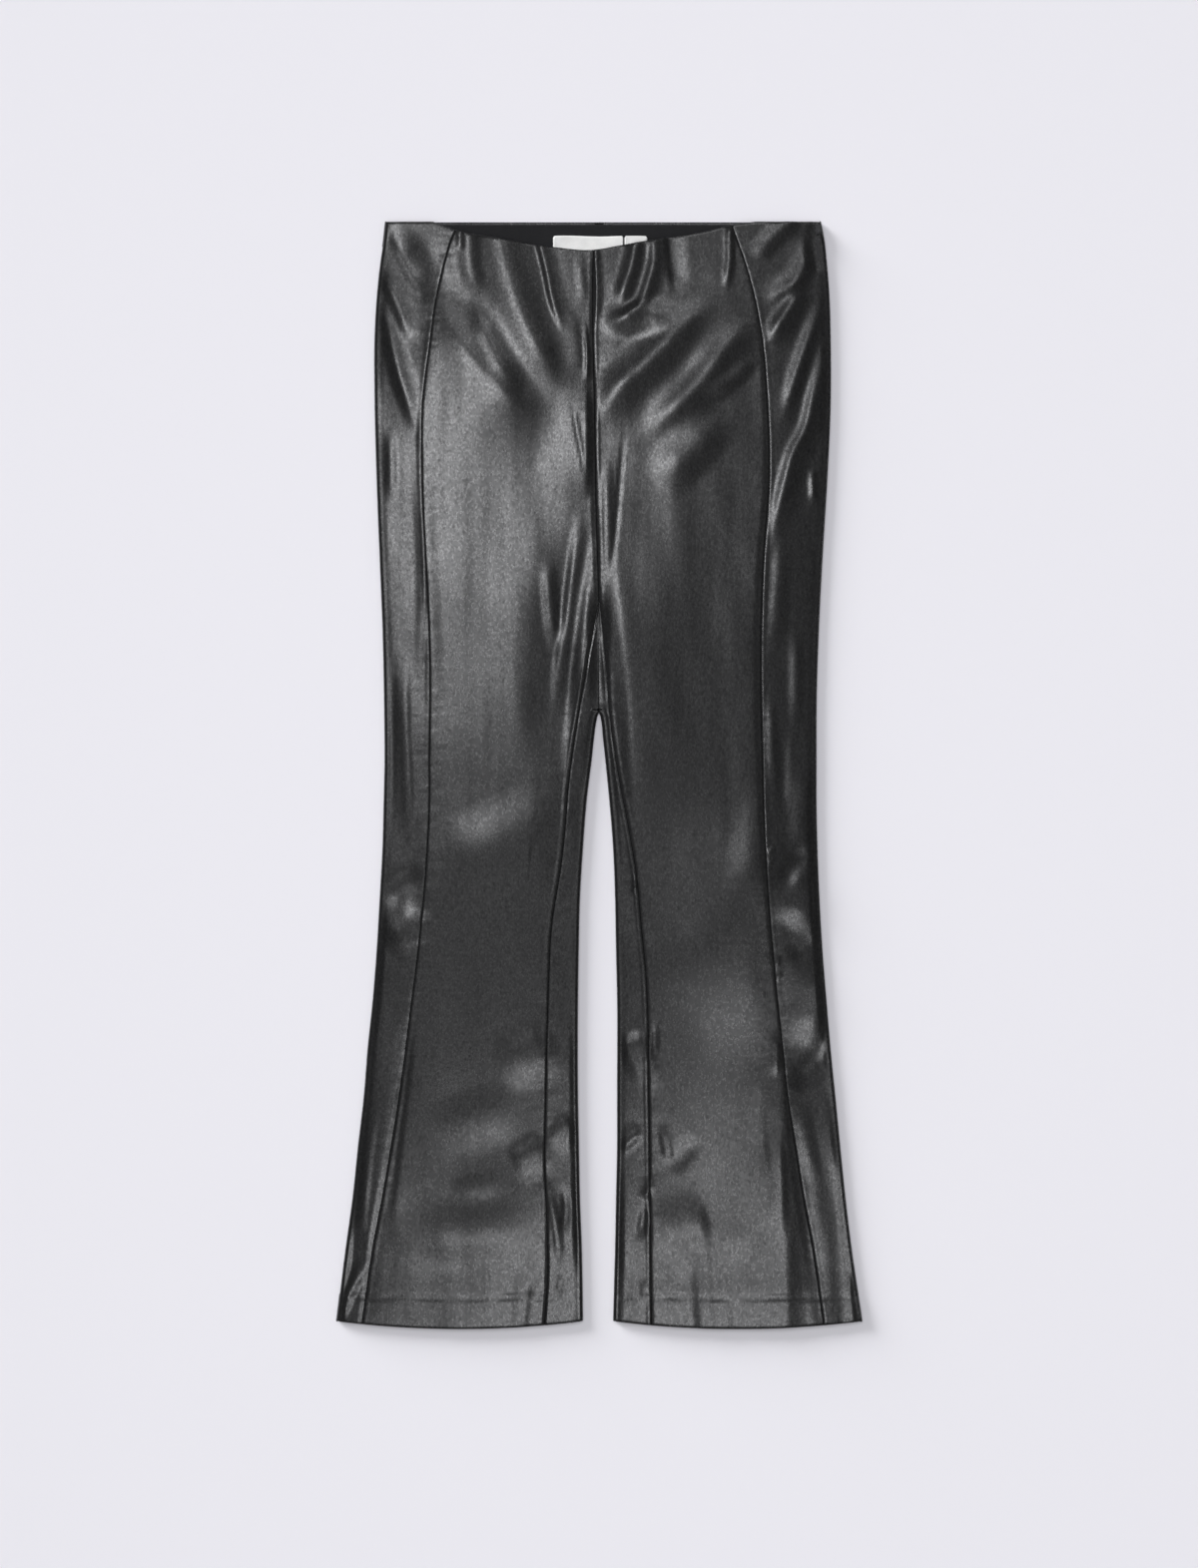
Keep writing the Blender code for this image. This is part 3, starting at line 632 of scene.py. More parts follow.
RIGHT_PANEL_SEAM = (
    SeamShape(0, 0.08, 1.4, 1.6, 0.0, 0.0),
    SeamShape(100, 0.08, 1.4, 1.8, 0.03, 0.0),
    SeamShape(200, 0.08, 1.4, 2.0, 0.04, 0.0),
    SeamShape(400, 0.08, 1.4, 2.2, 0.04, 0.0),
    SeamShape(560, 0.10, 1.4, 1.8, 0.0, 0.0),
    SeamShape(680, 0.20, 3.0, 1.4, 0.0, 0.04),
    SeamShape(800, 0.40, 6.0, 1.4, 0.0, 0.05),
    SeamShape(935, 0.30, 4.0, 1.4, 0.0, 0.05),
)

LEFT_PANEL_SEAM = (
    SeamShape(0, 0.08, 1.8, 1.2, 0.0, 0.03),
    SeamShape(60, 0.16, 3.0, 1.2, 0.0, 0.05),
    SeamShape(200, 0.32, 5.5, 1.2, 0.0, 0.06),
    SeamShape(420, 0.40, 7.0, 1.2, 0.0, 0.06),
    SeamShape(600, 0.20, 3.5, 1.4, 0.0, 0.04),
    SeamShape(720, 0.16, 2.6, 1.6, 0.0, 0.0),
    SeamShape(820, 0.36, 9.0, 1.4, 0.0, 0.04),
    SeamShape(935, 0.42, 11.0, 1.4, 0.0, 0.06),
)

RIGHT_INNER_SEAM = (
    SeamShape(20, 0.20, 2.6, 1.2, 0.0, 0.1),
    SeamShape(140, 0.36, 4.0, 1.2, 0.0, 0.1),
    SeamShape(280, 0.44, 5.0, 1.2, 0.0, 0.1),
    SeamShape(330, 0.40, 5.0, 1.6, 0.1, 0.0),
    SeamShape(420, 0.18, 1.4, 1.8, 0.2, 0.0),
    SeamShape(560, 0.16, 1.4, 1.8, 0.2, 0.0),
    SeamShape(720, 0.18, 1.6, 1.6, 0.05, 0.05),
    SeamShape(880, 0.30, 4.0, 1.4, 0.1, 0.05),
    SeamShape(935, 0.55, 7.0, 1.4, 0.2, 0.05),
)

LEFT_INNER_SEAM = (
    SeamShape(20, 0.10, 1.4, 1.2, 0.05, 0.1),
    SeamShape(140, 0.12, 1.4, 1.4, 0.05, 0.12),
    SeamShape(280, 0.16, 1.6, 1.6, 0.0, 0.12),
    SeamShape(330, 0.30, 3.0, 2.4, 0.0, 0.05),
    SeamShape(420, 0.20, 2.0, 1.6, 0.0, 0.15),
    SeamShape(560, 0.20, 2.0, 2.2, 0.12, 0.0),
    SeamShape(720, 0.20, 1.6, 2.2, 0.15, 0.0),
    SeamShape(935, 0.20, 1.6, 2.6, 0.15, 0.0),
)


class SeamHollow:
    """The hollow and the lips that run along one seam."""

    LIP_PLACE = 2.6
    LIP_REACH = 2.4

    def __init__(self, line: Callable[[Numbers], Numbers], shapes: Sequence[SeamShape]) -> None:
        """Keeps the seam's line and a curve for each column of its shapes."""
        self.line = line
        self.shape = {name: Curve.of(shapes, "drop", name) for name in SeamShape._fields[1:]}

    def at(self, across: Numbers, drop: Numbers) -> Numbers:
        """What the seam adds to the front's height.

        Args:
            across: the points' across.
            drop: their drop.

        Returns:
            The heights: below 0 in the hollow and above 0 on a lip.
        """
        distance = across - self.line(drop)
        value = {name: curve(drop) for name, curve in self.shape.items()}
        reach = np.where(distance < 0, value["left_reach"], value["right_reach"])
        lip = np.where(distance < 0, value["left_lip"], value["right_lip"])
        hollow = -value["depth"] * (1 - smooth(abs(distance) / reach))
        from_lip = abs(abs(distance) - self.LIP_PLACE) / self.LIP_REACH
        return hollow + lip * (1 - smooth(from_lip))


@dataclass(frozen=True)
class Relief:
    """The height of the garment's front."""

    cut: Cut
    crown: float = 0.15
    edge_fade: float = 5.0
    dome: float = 1.6  # how much higher again the front lies far from its edges
    dome_reach: float = 70.0
    pucker: float = 0.04
    pucker_reach: float = 9.0
    least_crumple: float = 0.35  # the crumple's share of its height on the thighs
    crumple_start: float = 480.0  # the drop where it begins to grow
    crumple_ramp: float = 200.0
    hem_line: float = 913.0  # the drop where the turned-in hem ends
    hem_rise: float = 0.12
    hem_rise_reach: float = 20.0
    hem_groove: float = 0.3
    hem_groove_reach: float = 2.2
    hem_groove_share: float = 0.75  # how much of the groove shows, on the whole
    hem_groove_most: float = 1.3  # and at the most
    zip_place: tuple[float, float] = (186.0, 19.0)
    zip_reach: tuple[float, float] = (11.0, 30.0)

    SWELLS = Ripples(3, 90, 230, 0.10)
    STREAKS = Ripples(11, 22, 150, 0.015)
    CRUMPLE = Ripples(23, 190, 300, 0.30)
    PUCKERS = Ripples(5, 26, 9, 1.0)
    HEM_UNEVEN = Ripples(17, 45, 200, 0.4)

    def seams(self) -> list[SeamHollow]:
        """The panel seams' hollows.

        Returns:
            The right one and the left one.
        """
        return [
            SeamHollow(self.cut.panel_seam[Side.RIGHT], RIGHT_PANEL_SEAM),
            SeamHollow(self.cut.panel_seam[Side.LEFT], LEFT_PANEL_SEAM),
        ]

    def inner_seams(self, across: Numbers, drop: Numbers) -> Numbers:
        """The centre front seam's hollow, which parts into the two inseams below the crotch.

        Args:
            across: the points' across.
            drop: their drop.

        Returns:
            What the hollow adds to the front's height.
        """
        hollows = {
            Side.RIGHT: SeamHollow(lambda d: self.cut.front_inner_seam(Side.RIGHT, d), RIGHT_INNER_SEAM),
            Side.LEFT: SeamHollow(lambda d: self.cut.front_inner_seam(Side.LEFT, d), LEFT_INNER_SEAM),
        }
        middle = np.where(drop <= CROTCH_DROP, self.cut.centre_seam(drop), CENTRE)
        return np.where(
            across < middle, hollows[Side.RIGHT].at(across, drop), hollows[Side.LEFT].at(across, drop)
        )

    def seam_distance(self, across: Numbers, drop: Numbers) -> Numbers:
        """How far a point lies from the nearest seam.

        Args:
            across: the points' across.
            drop: their drop.

        Returns:
            The distances.
        """
        lines = [self.cut.panel_seam[side](drop) for side in Side]
        lines += [self.cut.front_inner_seam(side, drop) for side in Side]
        return np.min([abs(across - line) for line in lines], axis=0)

    def crumpled(self, drop: Numbers) -> Numbers:
        """How crumpled the cloth is: more below the knees than on the thighs."""
        grown = smooth((drop - self.crumple_start) / self.crumple_ramp)
        return self.least_crumple + (1 - self.least_crumple) * grown

    def hem_imprint(self, across: Numbers, drop: Numbers) -> Numbers:
        """The cloth's rise on to the turned-in hem, and the groove where the hem's edge presses.

        Args:
            across: the points' across.
            drop: their drop.

        Returns:
            What both add to the front's height.
        """
        rise = self.hem_rise * smooth((drop - self.hem_line) / self.hem_rise_reach + 1)
        groove = smooth(1 - abs(drop - self.hem_line - self.hem_groove_reach) / self.hem_groove_reach)
        strong = self.hem_groove_share + self.HEM_UNEVEN.at(across, drop)
        return rise - self.hem_groove * groove * np.clip(strong, 0, self.hem_groove_most)

    def at(self, across: Numbers, drop: Numbers) -> Numbers:
        """Height of the front's outer face above the ground.

        Args:
            across: the points' across.
            drop: their drop.

        Returns:
            The heights.
        """
        folds = np.zeros(across.shape)
        for fold in FOLDS:
            fold.add_to(folds, across, drop)
        uneven = self.SWELLS.at(across, drop) + self.STREAKS.at(across, drop)
        uneven = uneven + self.CRUMPLE.at(across, drop) * self.crumpled(drop)
        near_seam = np.exp(-self.seam_distance(across, drop) / self.pucker_reach)
        uneven = uneven + self.pucker * near_seam * self.PUCKERS.at(across, drop)
        from_zip = np.hypot(
            (across - self.zip_place[0]) / self.zip_reach[0],
            (drop - self.zip_place[1]) / self.zip_reach[1],
        )
        inside = self.cut.edge_distance(across, drop) - EDGE_RADIUS
        dome = self.dome * (1 - (1 - np.clip(inside / self.dome_reach, 0, 1)) ** 2)
        raised = (self.crown + dome + folds + uneven) * smooth(2 * from_zip - 1)
        raised = raised + self.hem_imprint(across, drop)
        fade = smooth(inside / self.edge_fade)
        hollows = sum(seam.at(across, drop) for seam in self.seams())
        return LAYERS + fade * raised + hollows + self.inner_seams(across, drop)


@dataclass(frozen=True)
class Cloth:
    """How the cloth is meshed: its wall, its seam edges and the fineness of its grid."""

    wall: float = 0.7
    turned_gap: float = 0.05
    seam_gap: float = 0.05
    shoulder: float = 0.45
    shoulder_steps: int = 4
    allowance: float = 0.7  # how far a seam's cut edge runs down below its shoulder
    near_width: float = 6.0
    near_steps: int = 7
    turn_steps: int = 6

    NARROW = 3  # a panel under this many seam edges wide takes a narrower edge

    @property
    def turned(self) -> float:
        """From the outer face of a turned-in edge to its inner face."""
        return 2 * self.wall + self.turned_gap

    def seam_edge(self, width: float) -> tuple[Numbers, Numbers]:
        """The columns next to a seam: down its cut edge, over the shoulder and a little further.

        Args:
            width: how wide the panel is. A narrow one takes a narrower edge.

        Returns:
            How far each column lies from the seam, and how far it sinks.
        """
        angles = np.linspace(0, np.pi / 2, self.shoulder_steps + 1)
        away = self.seam_gap + self.shoulder * (1 - np.cos(angles))
        sink = self.shoulder * (1 - np.sin(angles))
        near = away[-1] + np.linspace(0, self.near_width, self.near_steps + 1)[1:]
        away = np.concatenate([[self.seam_gap], away, near])
        sink = np.concatenate([[self.shoulder + self.allowance], sink, np.zeros(self.near_steps)])
        scale = min(1.0, width / (self.NARROW * away[-1]))
        return away * scale, sink * scale

    def columns(
        self, start: float, end: float, middle: int, at_start: bool, at_end: bool
    ) -> tuple[Numbers, Numbers]:
        """Places of a row from start to end, with a seam's edge at either end or at both.

        Args:
            start: across of the first column's seam or edge.
            end: across of the last one's.
            middle: steps between the two edges.
            at_start: whether a seam is at the start.
            at_end: whether a seam is at the end.

        Returns:
            The across of each column, and how far it sinks.
        """
        direction = 1 if end > start else -1
        width = abs(end - start)
        away, sink = self.seam_edge(width)
        first = away[-1] if at_start else 0
        last = width - away[-1] if at_end else width
        steps = np.linspace(first, last, middle + 1)
        sinks = np.zeros(middle + 1)
        if at_start:
            steps = np.concatenate([away[:-1], steps])
            sinks = np.concatenate([sink[:-1], sinks])
        if at_end:
            steps = np.concatenate([steps, width - away[-2::-1]])
            sinks = np.concatenate([sinks, sink[-2::-1]])
        return start + direction * steps, sinks


HIP_ROWS = 176
CROTCH_ROWS = 40
ROWS_BELOW_GAP = (0, 0.5, 1.5, 3, 5, 8, 12)
LEG_ROWS = 205


def rows_of_cloth() -> Numbers:
    """Drops of the grid's rows: close over the hip and the crotch, and a little wider below.

    Returns:
        The drops, falling down the garment.
    """
    hip = np.linspace(0, CROTCH_DROP, HIP_ROWS)
    crotch = np.linspace(CROTCH_DROP, GAP_DROP, CROTCH_ROWS)[1:-1]
    gap = GAP_DROP + np.array(ROWS_BELOW_GAP)
    legs = np.linspace(gap[-1], SIDE_LENGTH, LEG_ROWS)[1:]
    return np.concatenate([hip, crotch, gap, legs])


ROWS = rows_of_cloth()
FLAP_ROW = int(np.searchsorted(ROWS, CROTCH_DROP))
GAP_ROW = int(np.searchsorted(ROWS, GAP_DROP))


def to_metres(points: Numbers) -> Numbers:
    """World positions of (across, drop, height) points."""
    placed = np.stack([points[..., 0], HALF_LENGTH - points[..., 1], points[..., 2]], axis=-1)
    return placed * MM


def grid_mesh(
    name: str,
    points: Numbers,
    turned: bool = False,
    left_out: Callable[[int, int], bool] | None = None,
) -> bpy.types.Object:
    """An open surface over rows of points.

    Args:
        name: the piece's name.
        points: rows by columns of (across, drop, height).
        turned: whether the faces are turned over.
        left_out: says by row and column which faces are left out.

    Returns:
        The piece, at the origin.
    """
    down, along = points.shape[:2]
    grid = bmesh.new()
    bmesh.ops.create_grid(grid, x_segments=along - 1, y_segments=down - 1, size=1)
    grid.verts.ensure_lookup_table()
    for vertex, place in zip(grid.verts, to_metres(points).reshape(-1, 3)):
        vertex.co = place
    if left_out:
        grid.faces.ensure_lookup_table()
        unused = [face for index, face in enumerate(grid.faces) if left_out(*divmod(index, along - 1))]
        bmesh.ops.delete(grid, geom=unused, context="FACES")
    if turned:
        bmesh.ops.reverse_faces(grid, faces=grid.faces[:])
    return new_piece(name, grid)


def new_piece(name: str, shape: bmesh.types.BMesh) -> bpy.types.Object:
    """A smooth-shaded object from a finished bmesh.

    Args:
        name: the piece's name.
        shape: its bmesh, which is freed.

    Returns:
        The piece, at the origin.
    """
    mesh = bpy.data.meshes.new(name)
    shape.to_mesh(mesh)
    shape.free()
    mesh.shade_smooth()
    piece = bpy.data.objects.new(name, mesh)
    bpy.context.scene.collection.objects.link(piece)
    return piece


def add_wall(piece: bpy.types.Object, wall: float) -> None:
    """Gives an open surface its wall, on the side away from its faces.

    Args:
        piece: the surface.
        wall: how thick the wall is.
    """
    shell = piece.modifiers.new("wall", "SOLIDIFY")
    shell.thickness = wall * MM
    shell.offset = -1
    shell.use_even_offset = False


def dress(
    piece: bpy.types.Object, material: bpy.types.Material, nodes: Sequence[str]
) -> bpy.types.Object:
    """Gives a piece its finish and its place in the frame, and reports it.

    Args:
        piece: the finished piece.
        material: its finish.
        nodes: the CAD nodes that it stands for.

    Returns:
        The piece.
    """
    piece.data.materials.append(material)
    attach(piece, "garment")
    if nodes:
        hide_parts(*nodes)
    log.info("%s: %d faces", piece.name, len(piece.data.polygons))
    return piece


@dataclass(frozen=True)
class Panels:
    """What every leather panel shares: the cut, the relief, the cloth and its finish."""

    cut: Cut
    relief: Relief
    cloth: Cloth
    leather: bpy.types.Material

    SEAM_DIP = 0.5
    SEAM_DIP_TURN = 14.0
    CLOSED_TURN = 0.8
    ZIP_TURN = 14.0
    ZIP_END = 190.0
    ZIP_FADE = 10.0
    LEFT_SEAM_TURN = 50.0
    FACING_DEPTHS = (1.5, 5, 10, 16)
    HEM_DEPTHS = (1.5, 6, 12, 18, 22)
    STEADY_COLUMNS = 7

    def side_seam(self, side: Side, drop: Numbers) -> tuple[float, Numbers]:
        """Where the side seam lies on the rolled edge, in degrees above the horizontal.

        Args:
            side: the leg.
            drop: drop of each row.

        Returns:
            The seam's turn, and half of what stays open at each row.
        """
        if side is Side.RIGHT:
            return 0.0, np.full_like(drop, self.CLOSED_TURN)
        opening = np.interp(
            drop, [self.ZIP_END, self.ZIP_END + self.ZIP_FADE], [self.ZIP_TURN, self.CLOSED_TURN]
        )
        return self.LEFT_SEAM_TURN, opening

    def rolled(
        self, edge: Numbers, drop: Numbers, facing: tuple[Numbers, Numbers], turns: Numbers, seam: Numbers
    ) -> Numbers:
        """Points round a rolled edge.

        Args:
            edge: across of the outline at each row.
            drop: drop of each row.
            facing: the outline's outward direction, across and down.
            turns: rows by columns of turns in degrees above the horizontal.
            seam: the turn where a seam sinks into the roll, for each row.

        Returns:
            Rows by columns of (across, drop, height).
        """
        near = 1 - smooth(abs(turns - seam[:, None]) / self.SEAM_DIP_TURN)
        radius = EDGE_RADIUS - self.SEAM_DIP * near
        angles = np.radians(turns)
        reach = radius * np.cos(angles) - EDGE_RADIUS
        height = EDGE_RADIUS + radius * np.sin(angles)
        return np.stack(
            [edge[:, None] + facing[0] * reach, drop[:, None] + facing[1] * reach, height], axis=-1
        )

    def front(
        self, side: Side, start: Numbers, end: Numbers, middle: int, at_start: bool, at_end: bool
    ) -> Numbers:
        """Points of a panel's part that lies on the front.

        Args:
            side: the leg.
            start: across of the first column of each row.
            end: across of the last one.
            middle: steps of the grid between the seams' edges.
            at_start: whether a seam is at the start.
            at_end: whether a seam is at the end.

        Returns:
            Rows by columns of (across, drop, height).
        """
        made = [
            self.cloth.columns(first, last, middle, at_start, at_end)
            for first, last in zip(start, end)
        ]
        across = np.array([places for places, _ in made])
        sink = np.array([sinks for _, sinks in made])
        row = ROWS[:, None]
        down = row + self.cut.front_dip(across, row) + self.cut.hem_arc(side, across, row)
        return np.stack([across, down, self.relief.at(across, down) - sink], axis=-1)

    def turned_in(self, points: Numbers, first: bool, depths: Sequence[float]) -> Numbers:
        """The rows that turn an edge in and carry it back under its own cloth.

        Args:
            points: rows by columns of the outer face.
            first: whether the edge is the first row, or else the last.
            depths: how far the turned-in rows reach from the edge.

        Returns:
            The added rows, from the edge inwards.
        """
        rows = points if first else points[::-1]
        down = np.gradient(rows, axis=0)
        along = np.gradient(rows, axis=1)
        normal = np.cross(along, down)
        normal /= np.linalg.norm(normal, axis=-1, keepdims=True) + TINY
        normal[:, : self.STEADY_COLUMNS] = normal[:, self.STEADY_COLUMNS, None]
        normal[:, -self.STEADY_COLUMNS :] = normal[:, -self.STEADY_COLUMNS - 1, None]
        inwards = -normal if self.faces_out(rows, normal) else normal
        ahead = rows[0] - rows[1]
        ahead /= np.linalg.norm(ahead, axis=-1, keepdims=True)
        half = self.cloth.turned / 2
        made = []
        for angle in np.linspace(0, np.pi, self.cloth.turn_steps + 1)[1:]:
            made.append(rows[0] + half * (ahead * math.sin(angle) + inwards[0] * (1 - math.cos(angle))))
        travelled = np.abs(rows[:, :1, 1] - rows[0, :1, 1])[:, 0]
        for depth in depths:
            index = int(np.searchsorted(travelled, depth))
            made.append(rows[index] + self.cloth.turned * inwards[index])
        return np.array(made)

    @staticmethod
    def faces_out(rows: Numbers, normal: Numbers) -> bool:
        """Whether the normals point away from the middle of the cloth's thickness."""
        above = rows[..., 2] - EDGE_RADIUS
        return float((above * normal[..., 2]).mean()) > 0

    def finished_rows(self, points: Numbers, waist: bool, hem: bool) -> Numbers:
        """A panel's rows with the rows of its turned-in edges.

        Args:
            points: rows by columns of the outer face.
            waist: whether the waist is turned in.
            hem: whether the hem is turned in.

        Returns:
            All the rows, from the waist down.
        """
        parts = [points]
        if waist:
            parts.insert(0, self.turned_in(points, True, self.FACING_DEPTHS)[::-1])
        if hem:
            parts.append(self.turned_in(points, False, self.HEM_DEPTHS))
        return np.concatenate(parts)

    def finish(self, piece: bpy.types.Object, node: str) -> bpy.types.Object:
        """Adds the wall and dresses a leather panel."""
        add_wall(piece, self.cloth.wall)
        return dress(piece, self.leather, [node])


@dataclass(frozen=True)
class FrontPanels(Panels):
    """The two front centre panels and the two front side panels."""

    centre_steps: int = 66
    side_steps: int = 20
    curl_steps: int = 7
    centre_flat: tuple[float, float] = (0.165, 0.98)
    centre_area: float = 0.126
    side_flat: tuple[float, float] = (0.075, 0.99)
    side_area: float = 0.044

    def centre(self, side: Side) -> bpy.types.Object:
        """Builds one front centre panel.

        Args:
            side: the leg.

        Returns:
            The panel.
        """
        cut = self.cut
        inner = cut.moved_row(side, ROWS, lambda drop: cut.front_inner_seam(side, drop))
        outer = cut.moved_row(side, ROWS, cut.panel_seam[side])
        points = self.front(side, inner, outer, self.centre_steps, True, True)
        points = self.finished_rows(points, True, True)
        name = f"cloth_front_centre_{side.value}"
        piece = grid_mesh(name, points, side is Side.LEFT)
        self.finish(piece, f"front_centre_{side.value}")
        return piece

    def side(self, side: Side) -> bpy.types.Object:
        """Builds one front side panel, which rolls over the garment's edge to the side seam.

        Args:
            side: the leg.

        Returns:
            The panel.
        """
        cut = self.cut
        seam = cut.moved_row(side, ROWS, cut.panel_seam[side])
        edge = cut.outer_edge[side](ROWS)
        flat = self.front(side, seam, edge - side.out * EDGE_RADIUS, self.side_steps, True, False)
        seam_turn, half_open = self.side_seam(side, ROWS)
        share = np.linspace(0, 1, self.curl_steps + 1)[None, 1:]
        turns = 90 + (seam_turn + half_open[:, None] - 90) * share
        facing = (side.out, 0)
        curl = self.rolled(edge, ROWS, facing, turns, seam_turn + half_open)
        points = self.finished_rows(np.concatenate([flat, curl], axis=1), True, True)
        piece = grid_mesh(f"cloth_front_side_{side.value}", points, side is Side.LEFT)
        self.finish(piece, f"front_side_{side.value}")
        return piece

    def build(self) -> list[bpy.types.Object]:
        """Builds the four front panels."""
        return [build(side) for side in Side for build in (self.centre, self.side)]


@dataclass(frozen=True)
class BackPanels(Panels):
    """The two back panels, each wrapped round its inner leg to show beside the inseam."""

    curl_steps: int = 10
    under_steps: int = 38
    fold_steps: int = 10
    strip_steps: int = 10
    seat_reach: float = 1.6
    seat_sink: float = 0.6
    flat: tuple[float, float] = (0.27, 0.99)
    area: float = 0.205

    UNDER_RIPPLES = Ripples(23, 40, 90, 0.10)

    def outer_curl(self, side: Side) -> Numbers:
        """From the side seam round the garment's edge to the ground.

        Args:
            side: the leg.

        Returns:
            Rows by columns of (across, drop, height).
        """
        seam_turn, half_open = self.side_seam(side, ROWS)
        start = (seam_turn - half_open)[:, None]
        share = np.linspace(0, 1, self.curl_steps + 1)[None, :]
        turns = start + (-90 - start) * share
        edge = self.cut.outer_edge[side](ROWS)
        return self.rolled(edge, ROWS, (side.out, 0), turns, seam_turn - half_open)

    def inner_fold(self, side: Side) -> Numbers:
        """The fold along the inner leg, which closes up into the seat seam above the gap.

        Args:
            side: the leg.

        Returns:
            Rows by columns of (across, drop, height).
        """
        share = np.linspace(0, 1, self.fold_steps + 1)
        turns = np.radians(-90 + 180 * share)
        rows = []
        for row, drop in enumerate(ROWS):
            if row < GAP_ROW:
                across = np.full_like(share, CENTRE + side.out * self.cloth.seam_gap)
                rows.append(np.stack([across, np.full_like(share, drop), LAYERS * share], axis=-1))
                continue
            turn = math.radians(float(self.cut.crotch_turn(drop - GAP_DROP)))
            reach = EDGE_RADIUS * (np.cos(turns) - 1)
            across = float(self.cut.inner_edge[side](drop)) - side.out * math.cos(turn) * reach
            down = drop + math.sin(turn) * reach
            rows.append(np.stack([across, down, EDGE_RADIUS * (1 + np.sin(turns))], axis=-1))
        return np.array(rows)

    def underside(self, side: Side, outer: Numbers, fold: Numbers) -> Numbers:
        """The cloth that lies on the ground.

        Args:
            side: the leg.
            outer: the outer curl, which it starts from.
            fold: the inner fold, which it ends at.

        Returns:
            Rows by columns of (across, drop, height).
        """
        share = np.linspace(0, 1, self.under_steps + 1)[None, 1:-1, None]
        points = outer[:, -1:] + (fold[:, :1] - outer[:, -1:]) * share
        points[..., 1] += self.cut.hem_arc(side, points[..., 0], ROWS[:, None])
        lifted = self.UNDER_RIPPLES.at(points[..., 0], points[..., 1])
        points[..., 2] += np.clip(lifted, 0, None)
        return points

    def strip(self, side: Side, fold: Numbers) -> Numbers:
        """The part of the back that shows on the front, beside the inseam.

        Args:
            side: the leg.
            fold: the inner fold, which it starts from.

        Returns:
            Rows by columns of (across, drop, height).
        """
        cut = self.cut
        rows = np.maximum(ROWS, CROTCH_DROP)
        seam = cut.moved_row(side, rows, cut.inseam[side])
        made = []
        for row, (start, end) in enumerate(zip(fold[:, -1], seam)):
            at_seat = row < GAP_ROW
            first = CENTRE if at_seat else start[0]
            across, sink = self.cloth.columns(first, end, self.strip_steps, at_seat, True)
            if not at_seat:
                across, sink = self.with_spare_columns(across, sink)
            share = (across - start[0]) / (end - start[0])
            down = start[1] + np.clip(share, 0, 1) * (rows[row] - start[1])
            made.append(np.stack([across, down, sink], axis=-1))
        points = np.array(made)
        points[..., 1] += cut.hem_arc(side, points[..., 0], rows[:, None])
        points[..., 2] = self.relief.at(points[..., 0], points[..., 1]) - points[..., 2]
        return points

    def with_spare_columns(self, across: Numbers, sink: Numbers) -> tuple[Numbers, Numbers]:
        """Splits the first step, so that rows below the gap have as many columns as those above.

        Args:
            across: across of each column.
            sink: how far each one sinks.

        Returns:
            The same for the longer row.
        """
        added = len(self.cloth.seam_edge(EDGE_RADIUS)[0]) - 1
        split = np.linspace(across[0], across[1], added + 2)[:-1]
        return np.concatenate([split, across[1:]]), np.concatenate([np.zeros(added), sink])

    def panel(self, side: Side) -> bpy.types.Object:
        """Builds one back panel.

        Args:
            side: the leg.

        Returns:
            The panel.
        """
        outer = self.outer_curl(side)
        fold = self.inner_fold(side)
        under = self.underside(side, outer, fold)
        strip = self.strip(side, fold)
        points = np.concatenate([outer, under, fold[:, :-1], strip], axis=1)
        under_end = outer.shape[1] + under.shape[1]
        fold_end = under_end + fold.shape[1] - 1
        near_seat = abs(points[:GAP_ROW, : under_end + 1, 0] - CENTRE) / self.seat_reach
        points[:GAP_ROW, : under_end + 1, 2] += self.seat_sink * (1 - smooth(near_seat))
        hem = self.turned_in(points, False, self.HEM_DEPTHS)
        waist = self.turned_in(points[:, : under_end + 1], True, self.FACING_DEPTHS)[::-1]
        spare = np.repeat(waist[:, -1:], points.shape[1] - waist.shape[1], axis=1)
        waist = np.concatenate([waist, spare], axis=1)
        added = len(waist)
        rows = np.concatenate([waist, points, hem])

        def left_out(row: int, place: int) -> bool:
            """Whether a face lies where the fold is closed or the strip hasn't begun.

            Args:
                row: the face's row.
                place: its place in the row.

            Returns:
                Whether it is left out.
            """
            in_fold = under_end <= place < fold_end
            in_strip = place >= fold_end
            return (in_fold and row < GAP_ROW + added) or (in_strip and row < FLAP_ROW + added)

        piece = grid_mesh(f"cloth_back_{side.value}", rows, side is Side.LEFT, left_out)
        self.finish(piece, f"back_{side.value}")
        return piece

    def build(self) -> list[bpy.types.Object]:
        """Builds both back panels."""
        return [self.panel(side) for side in Side]


